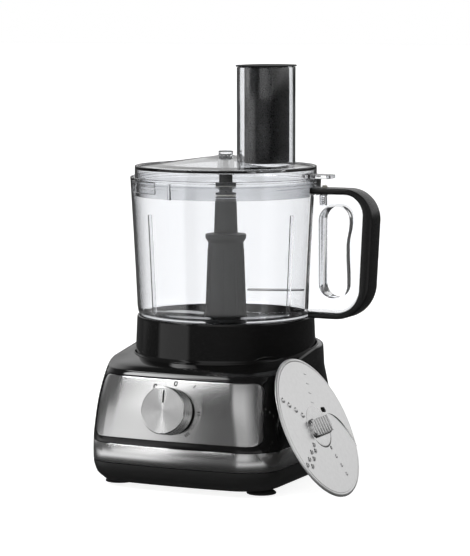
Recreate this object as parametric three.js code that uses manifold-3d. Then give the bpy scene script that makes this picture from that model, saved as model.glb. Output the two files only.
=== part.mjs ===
// Food processor: motor base with rotary switch, clear bowl with handle, S-blade,
// clear lid with feed tube, pusher, and a loose grating disc leaning on the base.
// Millimetres, +Z up. Pieces are drawn about the drive axis (x = y = 0) and the
// whole machine is then moved so that its origin is the middle of its footprint.
import * as THREE from 'three';
import { mergeVertices } from 'three/addons/utils/BufferGeometryUtils.js';
import Module from 'manifold-3d';

const wasm = await Module();
wasm.setup();

// ---- driving dimensions -------------------------------------------------------
const GAP = 0.3; // clearance between pieces that touch
const ROUND = 36; // sides of a large circle

// Base outline by height: z, half width, front reach, back reach, front and back corner radius
const BASE_LEVELS = [
  [4.8, 82.5, 104.5, 85, 30, 62],
  [12, 87.6, 110.2, 89.5, 30, 63],
  [22.5, 89.5, 112, 91.6, 29.5, 64],
  [39.8, 89.8, 111, 92, 29, 66],
  [60, 89, 109.5, 91.2, 31, 70],
  [75, 88.1, 107.5, 89.6, 33, 73],
  [88, 87.2, 103.8, 87.6, 35, 76],
  [98, 86.6, 99.6, 86.4, 37, 79],
  [104, 86, 96.6, 85.6, 38, 80],
];
const FRONT_BULGE = 5;
const BASE_BOTTOM = 4.8;
const TRAY_TOP = 22.4;
const TRAY_FLOOR = 7.2;
const TRAY_WALL = 2.5;
const HOUSING_BOTTOM = 22.9;
const HOUSING_WALL = 3.7;
const SHEET = 1.2; // steel skins
const BAND = { bottom: 22.8, top: 39.6 };
const PANEL = { lowerHalf: 82, upperHalf: 77.5, bottom: 45.2, top: 98, corner: 8 };
const DECK = { frontEdge: 104.5, backEdge: 120.1, frontTop: 109.5, backTop: 120.5, radius: 82.5, wall: 2.6 };

const SEAT = { holeRadius: 81.9, footRadius: 81.5, topRadius: 79.2, top: 145, floor: 133, recessRadius: 77.6 };
const FEET = [[69, -74], [-69, -74], [56, 58], [-56, 58]];
const FOOT = { radius: 13, height: 4.5, neck: 3.7 };
const POSTS = [[60, -60], [-60, -60], [46, 68], [-46, 68]];
const POST = { radius: 4.5, bottom: 7.6 };

const KNOB = { height: 71.5, front: 108.2, tilt: 12, radius: 20.6, depth: 19.5, shaft: 3 };

const MOTOR = { y: 47, stackBottom: 52, stackTop: 82, coreRadius: 16.8, shaft: 2.5, screwX: 40 };
const PULLEY = { bottom: 15.5, top: 27.5, drive: 36, motor: 7 };
const SPINDLE = { radius: 4.5, bottom: 8, top: 199 };
const COUPLER = { bottom: 140, neckTop: 199, top: 212, radius: 9.6, hex: 8.6 };

const BOWL = {
  bottom: 133.3, floor: 136, rim: 268.6, rimRadius: 85.3, wallRadius: 79.2, wall: 2.5, tube: 13, tubeTop: 200,
};
const LEDGE = 263.2; // step inside the bowl that the lid's flange rests on
const HANDLE = {
  outer: 145, skin: 8, top: 261, bottom: 146.4, thick: 22, clearThick: 17, corner: 32, topCorner: 27,
};
const FINGER_GAP = { left: 91, right: 123, bottom: 165, top: 245, corner: 12 };

const HUB = { bottom: 138.6, radius: 18.4, bore: 14.6, shoulder: 213.5, stemTop: 254.6, pinTop: 270, tip: 282 };
const BLADE = { reach: 71, thick: 1.8, lower: 144, upper: 167 };

const LID = { skirtBottom: 252, rim: 278.6, radius: 81.2, apex: 288, sheet: 2.2 };
const TUBE = { x: 39.6, halfX: 21, halfY: 30, corner: 15, wall: 2.2, top: 366 };
const PUSHER = { halfX: 16, halfY: 25, corner: 12, bottom: 281.5, capBottom: 366.4, capTop: 368 };

const PLUNGER = { x: 96, radius: 2.4, bottom: 247.5, top: 263.5, seat: 3.4 };

const DISC = { radius: 64, thick: 1, lean: 26, x: 114.8, y: -57.5, z: 58.6, hubRadius: 12 };

const GROMMET = { z: 54, reach: 94.5, neck: 6.5, flange: 9 };

// ---- materials ----------------------------------------------------------------
const surface = (color, roughness, metalness) =>
  new THREE.MeshStandardMaterial({ color, roughness, metalness });
const clearPlastic = new THREE.MeshStandardMaterial({
  color: 0xeef2f5, roughness: 0.08, metalness: 0, transparent: true, opacity: 0.3,
});
const glossBlack = surface(0x0b0b0c, 0.12, 0);
const mattBlack = surface(0x17181a, 0.5, 0);
const brushedSteel = surface(0xb9babc, 0.32, 1);
const polishedSteel = surface(0xd2d4d6, 0.15, 1);
const motorSteel = surface(0x8a8c8e, 0.45, 1);
const copper = surface(0xb4673a, 0.35, 1);
const bronze = surface(0xa8824a, 0.4, 1);
const rubber = surface(0x131313, 0.85, 0);
const nylon = surface(0xd9d6cc, 0.55, 0);
const boardGreen = surface(0x1f5a3a, 0.6, 0);
const hubGrey = surface(0x2b2f33, 0.4, 0);

// ---- geometry helpers -----------------------------------------------------------
const radians = (degrees) => (degrees * Math.PI) / 180;
const lerp = (a, b, t) => a + (b - a) * t;
const clamp01 = (t) => Math.min(1, Math.max(0, t));

// Weld vertices, drop empty triangles, and turn the faces outwards.
function solid(geometry) {
  const plain = geometry.clone();
  plain.deleteAttribute('normal');
  plain.deleteAttribute('uv');
  const welded = mergeVertices(plain, 1e-4);
  const p = welded.attributes.position;
  const corner = [new THREE.Vector3(), new THREE.Vector3(), new THREE.Vector3()];
  const kept = [];
  let volume = 0;
  for (let i = 0; i < welded.index.count; i += 3) {
    const [a, b, c] = [0, 1, 2].map((k) => welded.index.getX(i + k));
    if (a === b || b === c || c === a) continue;
    kept.push([a, b, c]);
    [a, b, c].forEach((v, k) => corner[k].fromBufferAttribute(p, v));
    volume += corner[0].dot(corner[1].cross(corner[2]));
  }
  const index = kept.flatMap(([a, b, c]) => (volume > 0 ? [a, b, c] : [a, c, b]));
  const result = new THREE.BufferGeometry();
  result.setAttribute('position', new THREE.BufferAttribute(new Float32Array(p.array), 3));
  result.setIndex(index);
  result.computeVertexNormals();
  return result;
}

function toManifold(geometry) {
  const clean = solid(geometry);
  return new wasm.Manifold(new wasm.Mesh({
    numProp: 3,
    vertProperties: new Float32Array(clean.attributes.position.array),
    triVerts: new Uint32Array(clean.index.array),
  }));
}

function fromManifold(body) {
  const mesh = body.getMesh();
  const geometry = new THREE.BufferGeometry();
  geometry.setAttribute('position', new THREE.BufferAttribute(new Float32Array(mesh.vertProperties), 3));
  geometry.setIndex(new THREE.BufferAttribute(new Uint32Array(mesh.triVerts), 1));
  geometry.computeVertexNormals();
  return geometry;
}

const join = (...parts) => fromManifold(parts.map(toManifold).reduce((a, b) => a.add(b)));
const cut = (body, ...tools) =>
  fromManifold(tools.map(toManifold).reduce((a, b) => a.subtract(b), toManifold(body)));
const common = (a, b) => fromManifold(toManifold(a).intersect(toManifold(b)));

// Turn a profile of [radius, height] corners about the Z axis.
function lathe(profile, sides = ROUND) {
  const points = profile.map(([r, z]) => new THREE.Vector2(r, z));
  return new THREE.LatheGeometry(points, sides).rotateX(Math.PI / 2);
}

const ring = (outer, inner, z0, z1, sides = 24) =>
  lathe([[inner, z0], [outer, z0], [outer, z1], [inner, z1], [inner, z0]], sides);

const rod = (radius, z0, z1, sides = 16) =>
  lathe([[0, z0], [radius, z0], [radius, z1], [0, z1]], sides);

const box = (x0, x1, y0, y1, z0, z1) =>
  new THREE.BoxGeometry(x1 - x0, y1 - y0, z1 - z0)
    .translate((x0 + x1) / 2, (y0 + y1) / 2, (z0 + z1) / 2);

// Raise a shape drawn in the XY plane from z0 to z1.
const prism = (shape, z0, z1, steps = 6) =>
  new THREE.ExtrudeGeometry(shape, { depth: z1 - z0, bevelEnabled: false, curveSegments: steps })
    .translate(0, 0, z0);

// Same, for a shape drawn in the XZ plane and spread to both sides of y = 0.
const plate = (shape, thick, steps = 6) =>
  new THREE.ExtrudeGeometry(shape, { depth: thick, bevelEnabled: false, curveSegments: steps })
    .translate(0, 0, -thick / 2)
    .rotateX(Math.PI / 2);

const tube = (points, radius, steps, sides = 8) => {
  const section = new THREE.Shape(
    Array.from({ length: sides }, (_, i) => {
      const a = (i / sides) * 2 * Math.PI;
      return new THREE.Vector2(radius * Math.cos(a), radius * Math.sin(a));
    }),
  );
  const path = new THREE.CatmullRomCurve3(points.map((p) => new THREE.Vector3(...p)));
  return new THREE.ExtrudeGeometry(section, { steps, extrudePath: path, bevelEnabled: false });
};

function roundedRectangle(x0, x1, y0, y1, r, path = new THREE.Shape()) {
  path.moveTo(x0 + r, y0);
  path.lineTo(x1 - r, y0);
  path.absarc(x1 - r, y0 + r, r, -Math.PI / 2, 0);
  path.lineTo(x1, y1 - r);
  path.absarc(x1 - r, y1 - r, r, 0, Math.PI / 2);
  path.lineTo(x0 + r, y1);
  path.absarc(x0 + r, y1 - r, r, Math.PI / 2, Math.PI);
  path.lineTo(x0, y0 + r);
  path.absarc(x0 + r, y0 + r, r, Math.PI, 1.5 * Math.PI);
  return path;
}

const oval = (halfX, halfY, corner) =>
  roundedRectangle(-halfX, halfX, -halfY, halfY, corner);

// Skin a stack of rings that all have the same number of points, and cap both ends.
function loft(rings) {
  const count = rings[0].length;
  const middle = (points) =>
    points.reduce((sum, p) => sum.add(p), new THREE.Vector3()).divideScalar(points.length);
  const positions = [];
  const push = (...points) => points.forEach((p) => positions.push(p.x, p.y, p.z));
  rings.slice(1).forEach((upper, level) => {
    const lower = rings[level];
    for (let i = 0; i < count; i++) {
      const j = (i + 1) % count;
      push(lower[i], lower[j], upper[j], lower[i], upper[j], upper[i]);
    }
  });
  const top = rings[rings.length - 1];
  for (let i = 0; i < count; i++) {
    const j = (i + 1) % count;
    push(middle(rings[0]), rings[0][j], rings[0][i]);
    push(middle(top), top[i], top[j]);
  }
  const geometry = new THREE.BufferGeometry();
  geometry.setAttribute('position', new THREE.Float32BufferAttribute(positions, 3));
  return geometry;
}

const at = (geometry, x, y, z = 0) => geometry.clone().translate(x, y, z);

// ---- base outline -----------------------------------------------------------------
function baseLevel(z) {
  const above = BASE_LEVELS.findIndex((level) => level[0] >= z);
  if (above === 0) return BASE_LEVELS[0];
  if (above < 0) return BASE_LEVELS[BASE_LEVELS.length - 1];
  const [low, high] = [BASE_LEVELS[above - 1], BASE_LEVELS[above]];
  const t = (z - low[0]) / (high[0] - low[0]);
  return low.map((value, i) => lerp(value, high[i], t));
}

// Rounded rectangle with a bowed front, seen from above at height z, counter-clockwise.
function baseRing(z, inset = 0) {
  const [, w, f, b, rf, rb] = baseLevel(z).map((value, i) => (i ? value - inset : value));
  const corners = [
    [w - rf, -(f - FRONT_BULGE - rf), rf, -90],
    [w - rb, b - rb, rb, 0],
    [-(w - rb), b - rb, rb, 90],
    [-(w - rf), -(f - FRONT_BULGE - rf), rf, 180],
  ];
  const points = [];
  corners.forEach(([x, y, r, start]) => {
    for (let step = 0; step <= 5; step++) {
      const a = radians(start + step * 18);
      points.push(new THREE.Vector3(x + r * Math.cos(a), y + r * Math.sin(a), z));
    }
  });
  const frontLeft = points[points.length - 1];
  const frontRight = points[0];
  for (let step = 1; step < 5; step++) points.push(frontLeft.clone().lerp(frontRight, step / 5));
  points.forEach((p) => {
    if (p.y < 0) p.y -= FRONT_BULGE * (1 - (p.x / w) ** 2);
  });
  return points;
}

const smooth = (t) => clamp01(t) ** 2 * (3 - 2 * clamp01(t));
const deckEdge = (y) => lerp(DECK.frontEdge, DECK.backEdge, smooth((y + 84) / 72));
const deckTop = (y) => lerp(DECK.frontTop, DECK.backTop, smooth((y + 90) / 150));

// The three rings that close the shoulder: edge, rounded shoulder, circle round the seat.
function deckRings(inset = 0, drop = 0) {
  const edge = baseRing(104, inset);
  edge.forEach((p) => p.setZ(deckEdge(p.y) - 1.5 - drop));
  const circle = edge.map((p) => {
    const scale = (DECK.radius - inset) / Math.hypot(p.x, p.y);
    return new THREE.Vector3(p.x * scale, p.y * scale, deckTop(p.y * scale) - drop);
  });
  const shoulder = edge.map((p, i) => {
    const q = p.clone().lerp(circle[i], 0.3);
    return q.setZ(lerp(p.z, circle[i].z, 0.45));
  });
  return [edge, shoulder, circle];
}

const levelsBetween = (low, high) => [
  low, ...BASE_LEVELS.map((level) => level[0]).filter((z) => z > low + 1 && z < high - 1), high,
];
const baseBlock = (low, high, inset = 0) =>
  loft(levelsBetween(low, high).map((z) => baseRing(z, inset)));
const baseWithDeck = (low, inset = 0, drop = 0) =>
  loft([...levelsBetween(low, 98).map((z) => baseRing(z, inset)), ...deckRings(inset, drop)]);

// ---- scene --------------------------------------------------------------------------
const machine = new THREE.Group();

function place(name, geometry, material, parent = machine) {
  const mesh = new THREE.Mesh(solid(geometry), material);
  mesh.name = name;
  parent.add(mesh);
  return mesh;
}

// ---- base shells ----------------------------------------------------------------------
function baseTray() {
  const shell = cut(
    baseBlock(BASE_BOTTOM, TRAY_TOP),
    baseBlock(TRAY_FLOOR, TRAY_TOP + 5, TRAY_WALL),
  );
  const bushBoss = rod(11, BASE_BOTTOM + 1, 14, 24);
  const motorPosts = [-1, 1].map((side) => at(rod(5.5, BASE_BOTTOM + 1, 29.2), side * MOTOR.screwX, MOTOR.y));
  const holes = [
    rod(8.3, TRAY_FLOOR, 20, 24),
    ...[-1, 1].map((side) => at(rod(1.8, 18, 40, 8), side * MOTOR.screwX, MOTOR.y)),
    ...FEET.map(([x, y]) => at(rod(FOOT.neck + GAP, 0, 12, 12), x, y)),
    ...POSTS.map(([x, y]) => at(rod(1.9, 0, 12, 12), x, y)),
    ...POSTS.map(([x, y]) => at(rod(4, 0, 6.5, 12), x, y)),
  ];
  for (let row = 0; row < 6; row++) {
    holes.push(box(-16, 16, MOTOR.y - 21 + row * 8, MOTOR.y - 18 + row * 8, 0, 12));
  }
  return cut(join(shell, bushBoss, ...motorPosts), ...holes);
}

function steelBand() {
  return cut(
    baseBlock(BAND.bottom, BAND.top),
    baseBlock(BAND.bottom - 2, BAND.top + 2, SHEET),
  );
}

// A block in front of the machine with the front panel's outline, larger by "extra".
function panelWindow(extra) {
  const { lowerHalf, upperHalf, bottom, top, corner } = PANEL;
  const w = lowerHalf + extra;
  const window = plate(roundedRectangle(-w, w, bottom - extra, top + extra, corner), 80, 4);
  const p = window.attributes.position;
  for (let i = 0; i < p.count; i++) {
    const narrowing = lerp(0, 1 - upperHalf / lowerHalf, (p.getZ(i) - bottom) / (top - bottom));
    p.setX(i, p.getX(i) * (1 - narrowing));
  }
  return window.translate(0, -100, 0);
}

function frontPanel() {
  const skin = cut(baseBlock(42, 102), baseBlock(40, 103, SHEET));
  return cut(common(skin, panelWindow(0)), onKnobAxis(rod(4.5, -10, 10)));
}

function housing() {
  const outside = baseWithDeck(HOUSING_BOTTOM);
  const bandSeat = cut(
    baseBlock(HOUSING_BOTTOM - 3, BAND.top + GAP, -1),
    baseBlock(HOUSING_BOTTOM - 4, BAND.top + 1, SHEET + GAP),
  );
  const panelSeat = common(
    cut(baseBlock(42, 102, -1), baseBlock(40, 103, SHEET + GAP)),
    panelWindow(GAP),
  );
  const shell = cut(
    outside,
    baseWithDeck(HOUSING_BOTTOM - 2, HOUSING_WALL, DECK.wall),
    bandSeat,
    panelSeat,
    rod(SEAT.holeRadius, 101, 140, ROUND),
    onKnobAxis(rod(4.5, -12, 10)),
    alongY(rod(GROMMET.neck + GAP, 70, 100, 20), 0, GROMMET.z),
  );
  const posts = POSTS.map(([x, y]) =>
    common(at(rod(POST.radius, POST.bottom, 112, 12), x, y), baseWithDeck(POST.bottom - 1, 1, 1)));
  const pilots = POSTS.map(([x, y]) => at(rod(1.8, 0, 22, 8), x, y));
  return cut(join(shell, ...posts), rod(SEAT.holeRadius, 101, 140, ROUND), ...pilots);
}

function bowlSeat() {
  const { footRadius, topRadius, top, floor, recessRadius } = SEAT;
  return lathe([
    [8, 112], [11.5, 112], [11.5, 130.5], [recessRadius, 130.5], [recessRadius, 104],
    [footRadius - 1.2, 104], [footRadius - 1.2, 108], [footRadius, 109], [footRadius, 113],
    [topRadius + 0.3, top - 1.5], [topRadius - 0.5, top], [recessRadius, top],
    [recessRadius, floor], [8, floor], [8, 112],
  ]);
}

function foot() {
  const { radius, height, neck } = FOOT;
  return lathe([
    [0, 2.4], [8.5, 1.2], [10.5, 0], [radius, 0], [radius, 1], [9.5, 3.8], [7, height], [neck, height],
    [neck, 7.5], [5, 7.5], [4.4, 9.8], [0, 9.8],
  ], 16);
}

const trayScrew = () => lathe([[0, 5], [3.6, 5], [3.6, 6.2], [1.5, 6.2], [1.5, 19], [0, 20]], 12);

// A piece drawn up the Z axis, turned to lie along +Y at (x, z).
const alongY = (geometry, x, z) => geometry.clone().rotateX(-Math.PI / 2).translate(x, 0, z);

function cordGrommet() {
  const { neck, flange, reach, z } = GROMMET;
  const profile = [
    [3.8, 84], [8.6, 84], [8.6, 86], [neck, 86.6], [neck, 92.3], [flange, 92.3],
    [flange - 1, reach], [3.8, reach], [3.8, 84],
  ];
  return alongY(lathe(profile, 20), 0, z);
}

// ---- knob and switch ---------------------------------------------------------------------
// Local +Z points out of the panel and local +Y up it, with the origin on the panel's face.
const knobTurn = Math.PI / 2 - radians(KNOB.tilt);
const onKnobAxis = (geometry) =>
  geometry.clone().rotateX(knobTurn).translate(0, -KNOB.front, KNOB.height);

const knobGroup = new THREE.Group();
knobGroup.rotation.x = knobTurn;
knobGroup.position.set(0, -KNOB.front, KNOB.height);
machine.add(knobGroup);

const knobCore = () => lathe([
  [0, -14], [KNOB.shaft, -14], [KNOB.shaft, 1.2], [20, 1.2], [20, 2.2], [19.1, 2.2], [19.1, 17.5], [0, 17.5],
], 32);

function knobFace() {
  const { radius, depth } = KNOB;
  const cap = lathe([
    [19.4, 2.6], [radius - 0.2, 2.6], [radius - 0.2, 3.6], [radius, depth - 1],
    [radius - 0.8, depth], [0, depth], [0, 17.8], [19.4, 17.8], [19.4, 2.6],
  ], 32);
  const pointerSlot = box(-0.9, 0.9, 6.5, 17.5, depth - 0.5, depth + 1);
  return cut(cap, pointerSlot);
}

function rotarySwitch() {
  const body = join(box(-17, 17, -17, 17, -23, -8), rod(6, -9, -6, 16));
  const terminals = [-10, 0, 10].map((x) => box(x - 2.4, x + 2.4, -21, -16, -19, -18.2));
  return cut(join(body, ...terminals), rod(KNOB.shaft + GAP, -15, 0));
}

function controlBoard() {
  const board = box(-72, -26, -84, -82.4, 50, 84);
  const parts = [
    box(-68, -56, -82.5, -74, 54, 66), box(-52, -44, -82.5, -76, 54, 62),
    box(-40, -30, -82.5, -72, 56, 70), box(-66, -50, -82.5, -78, 72, 80),
  ];
  return join(board, ...parts);
}

// ---- motor -------------------------------------------------------------------------------
const atMotor = (geometry) => at(geometry, 0, MOTOR.y);

function motorStator() {
  const outline = roundedRectangle(-31, 31, -27, 27, 9);
  const bore = new THREE.Path();
  bore.absarc(0, 0, 17.6, radians(-48), radians(48));
  bore.lineTo(11.8, 23.5);
  bore.lineTo(-11.8, 23.5);
  bore.absarc(0, 0, 17.6, radians(132), radians(228));
  bore.lineTo(-11.8, -23.5);
  bore.lineTo(11.8, -23.5);
  outline.holes.push(bore);
  const stack = prism(outline, MOTOR.stackBottom, MOTOR.stackTop, 10);
  const bolts = [-1, 1].map((side) => at(rod(1.8, 40, 100, 8), side * 28.5, 0));
  return cut(stack, ...bolts);
}

// Saddle coil: two legs in the slots and an arc over each end of the stack.
function fieldCoil(side) {
  const { stackBottom, stackTop } = MOTOR;
  const arc = (z, from, to) => Array.from({ length: 5 }, (_, i) => {
    const a = radians(lerp(from, to, i / 4));
    return [side * 22.5 * Math.cos(a) * 0.92, 20.3 * Math.sin(a), z];
  });
  const points = [...arc(stackTop + 4, -76, 76), ...arc(stackBottom - 4, 76, -76)];
  const path = new THREE.CatmullRomCurve3(points.map((p) => new THREE.Vector3(...p)), true, 'catmullrom', 0.2);
  const section = new THREE.Shape();
  section.absellipse(0, 0, 2.1, 2.1, 0, 2 * Math.PI);
  return new THREE.ExtrudeGeometry(section, {
    steps: 28, extrudePath: path, bevelEnabled: false, curveSegments: 3,
  });
}

function motorBracket(barLow, barHigh, reach, legLow, legHigh) {
  const bar = box(-reach, reach, -11, 11, barLow, barHigh);
  const legs = [-1, 1].map((side) => box(side * 29 - 2, side * 29 + 2, -8, 8, legLow, legHigh));
  const holes = [-1, 1].map((side) => at(rod(2, barLow - 1, barHigh + 1, 8), side * MOTOR.screwX, 0));
  return cut(join(bar, ...legs), rod(8.3, barLow - 1, barHigh + 1, 24), ...holes);
}

const motorScrew = () => lathe([[0, 19], [1.5, 20], [1.5, 33.3], [3.6, 33.3], [3.4, 35.6], [0, 35.6]], 12);

const rotorCore = () => lathe([
  [2.8, 45], [13, 45], [15, 51], [16.8, 52], [16.8, 82], [15, 83], [13, 89], [2.8, 89], [2.8, 45],
], 24);

function commutator() {
  const slots = Array.from({ length: 8 }, (_, i) =>
    box(8, 10, -0.4, 0.4, 92, 104).rotateZ((i * Math.PI) / 4));
  return cut(ring(9, 2.8, 91, 102.5), ...slots);
}

function coolingFan() {
  const hub = ring(7, 2.8, 36, 43);
  const web = ring(24.5, 6.5, 41.5, 43);
  const vanes = Array.from({ length: 8 }, (_, i) =>
    box(8, 24, -0.7, 0.7, 36, 42).rotateZ((i * Math.PI) / 4 + 0.2));
  return join(hub, web, ...vanes);
}

function brushHolder(side) {
  const holder = box(10.5, 23, -4, 4, 93.5, 101.5);
  const carbon = box(9.4, 11, -2.5, 2.5, 95, 100);
  return join(holder, carbon).rotateY(side > 0 ? 0 : Math.PI).translate(0, 0, side > 0 ? 0 : 195);
}

function ribbedPulley(radius, bore) {
  const { bottom, top } = PULLEY;
  const grooves = [];
  for (let z = bottom + 1.5; z < top - 3; z += 4.5) grooves.push([radius - 1.2, z + 2.2], [radius, z + 4.5]);
  return lathe([
    [bore, bottom], [radius, bottom], [radius, bottom + 1.5], ...grooves,
    [radius, top], [bore, top], [bore, bottom],
  ], radius > 20 ? 28 : 14);
}

function drivePulley() {
  const windows = Array.from({ length: 5 }, (_, i) =>
    at(rod(7, 10, 32, 8), 21, 0).rotateZ((i * 2 * Math.PI) / 5));
  return cut(ribbedPulley(PULLEY.drive, SPINDLE.radius + GAP), ...windows, ring(32, 11, 20, 32, 28));
}

// Open loop of belt that lies GAP away from both pulleys.
function driveBelt() {
  const wrap = (grow) => {
    const large = PULLEY.drive + grow;
    const small = PULLEY.motor + grow;
    const lean = Math.asin((PULLEY.drive - PULLEY.motor) / MOTOR.y);
    const shape = new THREE.Shape();
    shape.absarc(0, 0, large, Math.PI - lean, 2 * Math.PI + lean);
    shape.absarc(0, MOTOR.y, small, lean, Math.PI - lean);
    return shape;
  };
  const loop = wrap(GAP + 1.7);
  loop.holes.push(new THREE.Path(wrap(GAP).getPoints(10)));
  return prism(loop, PULLEY.bottom + 1, PULLEY.top - 1, 10);
}

// ---- drive spindle --------------------------------------------------------------------------
function driveCoupler() {
  const { bottom, neckTop, top, radius, hex } = COUPLER;
  const neck = rod(radius, bottom, neckTop, 24);
  const dog = rod(hex, neckTop - 1, top, 6);
  return cut(join(neck, dog), rod(SPINDLE.radius + GAP, bottom - 1, SPINDLE.top + GAP));
}

// ---- bowl -------------------------------------------------------------------------------------
const WALL_FOOT = 152; // above this height the bowl's wall leans out, below it curves in to the seat
const bowlRadius = (z) =>
  lerp(BOWL.wallRadius, BOWL.rimRadius, clamp01((z - WALL_FOOT) / (BOWL.rim - WALL_FOOT)) ** 1.1);

function bowl() {
  const { bottom, floor, rim, wall, tube: tubeRadius, tubeTop } = BOWL;
  const inner = (z) => bowlRadius(z) - wall;
  const body = lathe([
    [tubeRadius - 1.8, bottom], [74, bottom], [76.2, bottom + 2.4], [76.9, 145.2], [78.5, 148],
    [bowlRadius(WALL_FOOT), WALL_FOOT], [bowlRadius(190), 190], [bowlRadius(230), 230],
    [bowlRadius(rim - 1), rim - 1], [bowlRadius(rim) - 0.8, rim], [inner(rim) + 0.4, rim],
    [inner(rim) + 0.4, LEDGE], [inner(LEDGE) - 0.4, LEDGE], [inner(LEDGE) - 0.4, 260], [inner(250), 250],
    [inner(230), 230], [inner(190), 190], [inner(WALL_FOOT), WALL_FOOT], [74.4, 145.2], [73, floor + 1.2],
    [71, floor], [tubeRadius + 0.3, floor],
    [tubeRadius, tubeTop], [tubeRadius - 1.8, tubeTop], [tubeRadius - 1.8, bottom],
  ]);
  const rib = (angle) => box(0, 4, -1, 1, 150, 238).rotateY(radians(3.9)).translate(inner(150) - 13.5, 0, 0)
    .rotateZ(radians(angle));
  return join(body, rib(240), rib(341));
}

function bowlHandle() {
  const outer = HANDLE.outer - HANDLE.skin - GAP;
  const [low, high] = [HANDLE.bottom + 5 + GAP, HANDLE.top - 5 - GAP];
  const root = (z) => bowlRadius(z) + GAP;
  const corner = HANDLE.corner - HANDLE.skin;
  const topCorner = HANDLE.topCorner - HANDLE.skin;
  const frame = new THREE.Shape();
  frame.moveTo(root(low), low);
  frame.lineTo(outer - corner - 3, low);
  frame.absarc(outer - corner - 3, low + corner, corner, -Math.PI / 2, 0);
  frame.lineTo(outer, high - topCorner);
  frame.absarc(outer - topCorner, high - topCorner, topCorner, 0, Math.PI / 2);
  frame.lineTo(root(high), high);
  const { left, right, bottom, top, corner: gapCorner } = FINGER_GAP;
  frame.holes.push(roundedRectangle(left, right, bottom, top, gapCorner, new THREE.Path()));
  const channel = at(rod(PLUNGER.seat, PLUNGER.bottom - 1.5, HANDLE.top + 1, 12), PLUNGER.x, 0);
  return cut(plate(frame, HANDLE.clearThick), channel);
}

function handleGrip() {
  const { outer, skin, top, bottom, thick, corner, topCorner } = HANDLE;
  const start = bowlRadius(top) + 0.6;
  const barStart = bowlRadius(bottom) + 5;
  const inside = outer - skin;
  const inCorner = corner - skin;
  const inTop = topCorner - skin;
  const shape = new THREE.Shape();
  shape.moveTo(start, top);
  shape.lineTo(start, top - 5);
  shape.lineTo(inside - inTop, top - 5);
  shape.absarc(inside - inTop, top - 5 - inTop, inTop, Math.PI / 2, 0, true);
  shape.absarc(inside - inCorner - 3, bottom + 5 + inCorner, inCorner, 0, -Math.PI / 2, true);
  shape.lineTo(barStart, bottom + 5);
  shape.lineTo(barStart, bottom);
  shape.lineTo(outer - corner - 3, bottom);
  shape.absarc(outer - corner - 3, bottom + corner, corner, -Math.PI / 2, 0);
  shape.lineTo(outer, top - topCorner);
  shape.absarc(outer - topCorner, top - topCorner, topCorner, 0, Math.PI / 2);
  const holes = [
    at(rod(PLUNGER.radius + GAP, top - 8, top + 1, 12), PLUNGER.x, 0),
    at(rod(1.8, bottom - 1, bottom + 7, 8), 96, 0),
  ];
  return cut(plate(shape, thick), ...holes);
}

function gripScrew() {
  const low = HANDLE.bottom + 0.6;
  return at(lathe([[0, low], [1.5, low], [1.5, low + 4], [0, low + 4]], 10), 96, 0);
}

// ---- blade set ------------------------------------------------------------------------------------
function bladeHub() {
  const { bottom, radius, bore, shoulder, stemTop } = HUB;
  const outside = lathe([
    [0, bottom], [radius + 0.8, bottom], [radius + 0.8, bottom + 3], [radius, bottom + 4],
    [radius - 2.6, shoulder - 4], [radius - 0.1, shoulder], [radius - 0.1, shoulder + 3.4],
    [10.6, shoulder + 4.4], [9.3, stemTop], [0, stemTop],
  ], 32);
  return cut(outside, rod(bore, bottom - 1, 201, 32), rod(COUPLER.hex + 0.7, 200, shoulder + 0.5, 6));
}

const hubPin = () => lathe([
  [0, 254.9], [9.2, 254.9], [9.2, 256.2], [8, 256.2], [8, 257.8], [9.2, 257.8], [9.2, 259.4], [6, 260.2],
  [6, HUB.pinTop], [2.9, HUB.pinTop + 1], [2.4, HUB.tip], [0, HUB.tip + 0.6],
], 16);

// Swept-back crescent, root at the hub and tip at full reach.
function blade(angle, height) {
  const shape = new THREE.Shape();
  shape.moveTo(19.8, -7);
  shape.bezierCurveTo(34, -20, 56, -20, BLADE.reach - 3, 2);
  shape.lineTo(BLADE.reach - 1, 8);
  shape.bezierCurveTo(54, 0, 38, 0, 19.8, 8);
  shape.lineTo(19.8, -7);
  const arm = prism(shape, -BLADE.thick / 2, BLADE.thick / 2, 10);
  return arm.rotateX(radians(-5)).translate(0, 0, height).rotateZ(radians(angle));
}

// ---- lid -------------------------------------------------------------------------------------------
function feedTube(grow, low, high) {
  const { halfX, halfY, corner, x } = TUBE;
  return at(prism(oval(halfX + grow, halfY + grow, corner + grow), low, high, 5), x, 0);
}

function lid() {
  const { skirtBottom, rim, radius, apex, sheet } = LID;
  const cone = (r) => lerp(apex, rim - 1.4, r / (radius - 2));
  const dish = lathe([
    [0, cone(0) + 1.6], [6.3, cone(6) + 2.2], [6.3, cone(6) + 0.6], [10, cone(10)],
    [radius - 2, cone(radius - 2)],
    [radius - 0.7, rim], [radius, rim - 0.7], [radius, 266.4], [82, 266.4], [82, LEDGE + GAP],
    [radius - 0.8, LEDGE + GAP], [radius - 1.2, skirtBottom], [radius - 3, skirtBottom],
    [radius - 2.6, rim - 3.6], [10, cone(10) - sheet], [7.4, 271], [6.4, 271], [3.6, 273.5],
    [3.4, 284.4], [0, 285.2],
  ]);
  const skirt = join(dish, feedTube(0, 277, TUBE.top));
  const tab = cut(box(79, 103, -9, 9, 269, 272.5), rod(80.6, 260, 280, ROUND));
  return cut(join(skirt, tab), feedTube(-TUBE.wall, 270, TUBE.top + 2));
}

// ---- pusher -----------------------------------------------------------------------------------------
function pusherBody() {
  const { halfX, halfY, corner, bottom, capBottom } = PUSHER;
  const outside = prism(oval(halfX, halfY, corner), bottom, capBottom - GAP, 5);
  const inside = prism(oval(halfX - 2, halfY - 2, corner - 2), bottom + 2, capBottom + 5, 5);
  return at(cut(outside, inside), TUBE.x, 0);
}

const pusherCap = () =>
  at(
    prism(oval(TUBE.halfX + 1, TUBE.halfY + 1, TUBE.corner + 0.5), PUSHER.capBottom, PUSHER.capTop, 5),
    TUBE.x, 0,
  );

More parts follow.
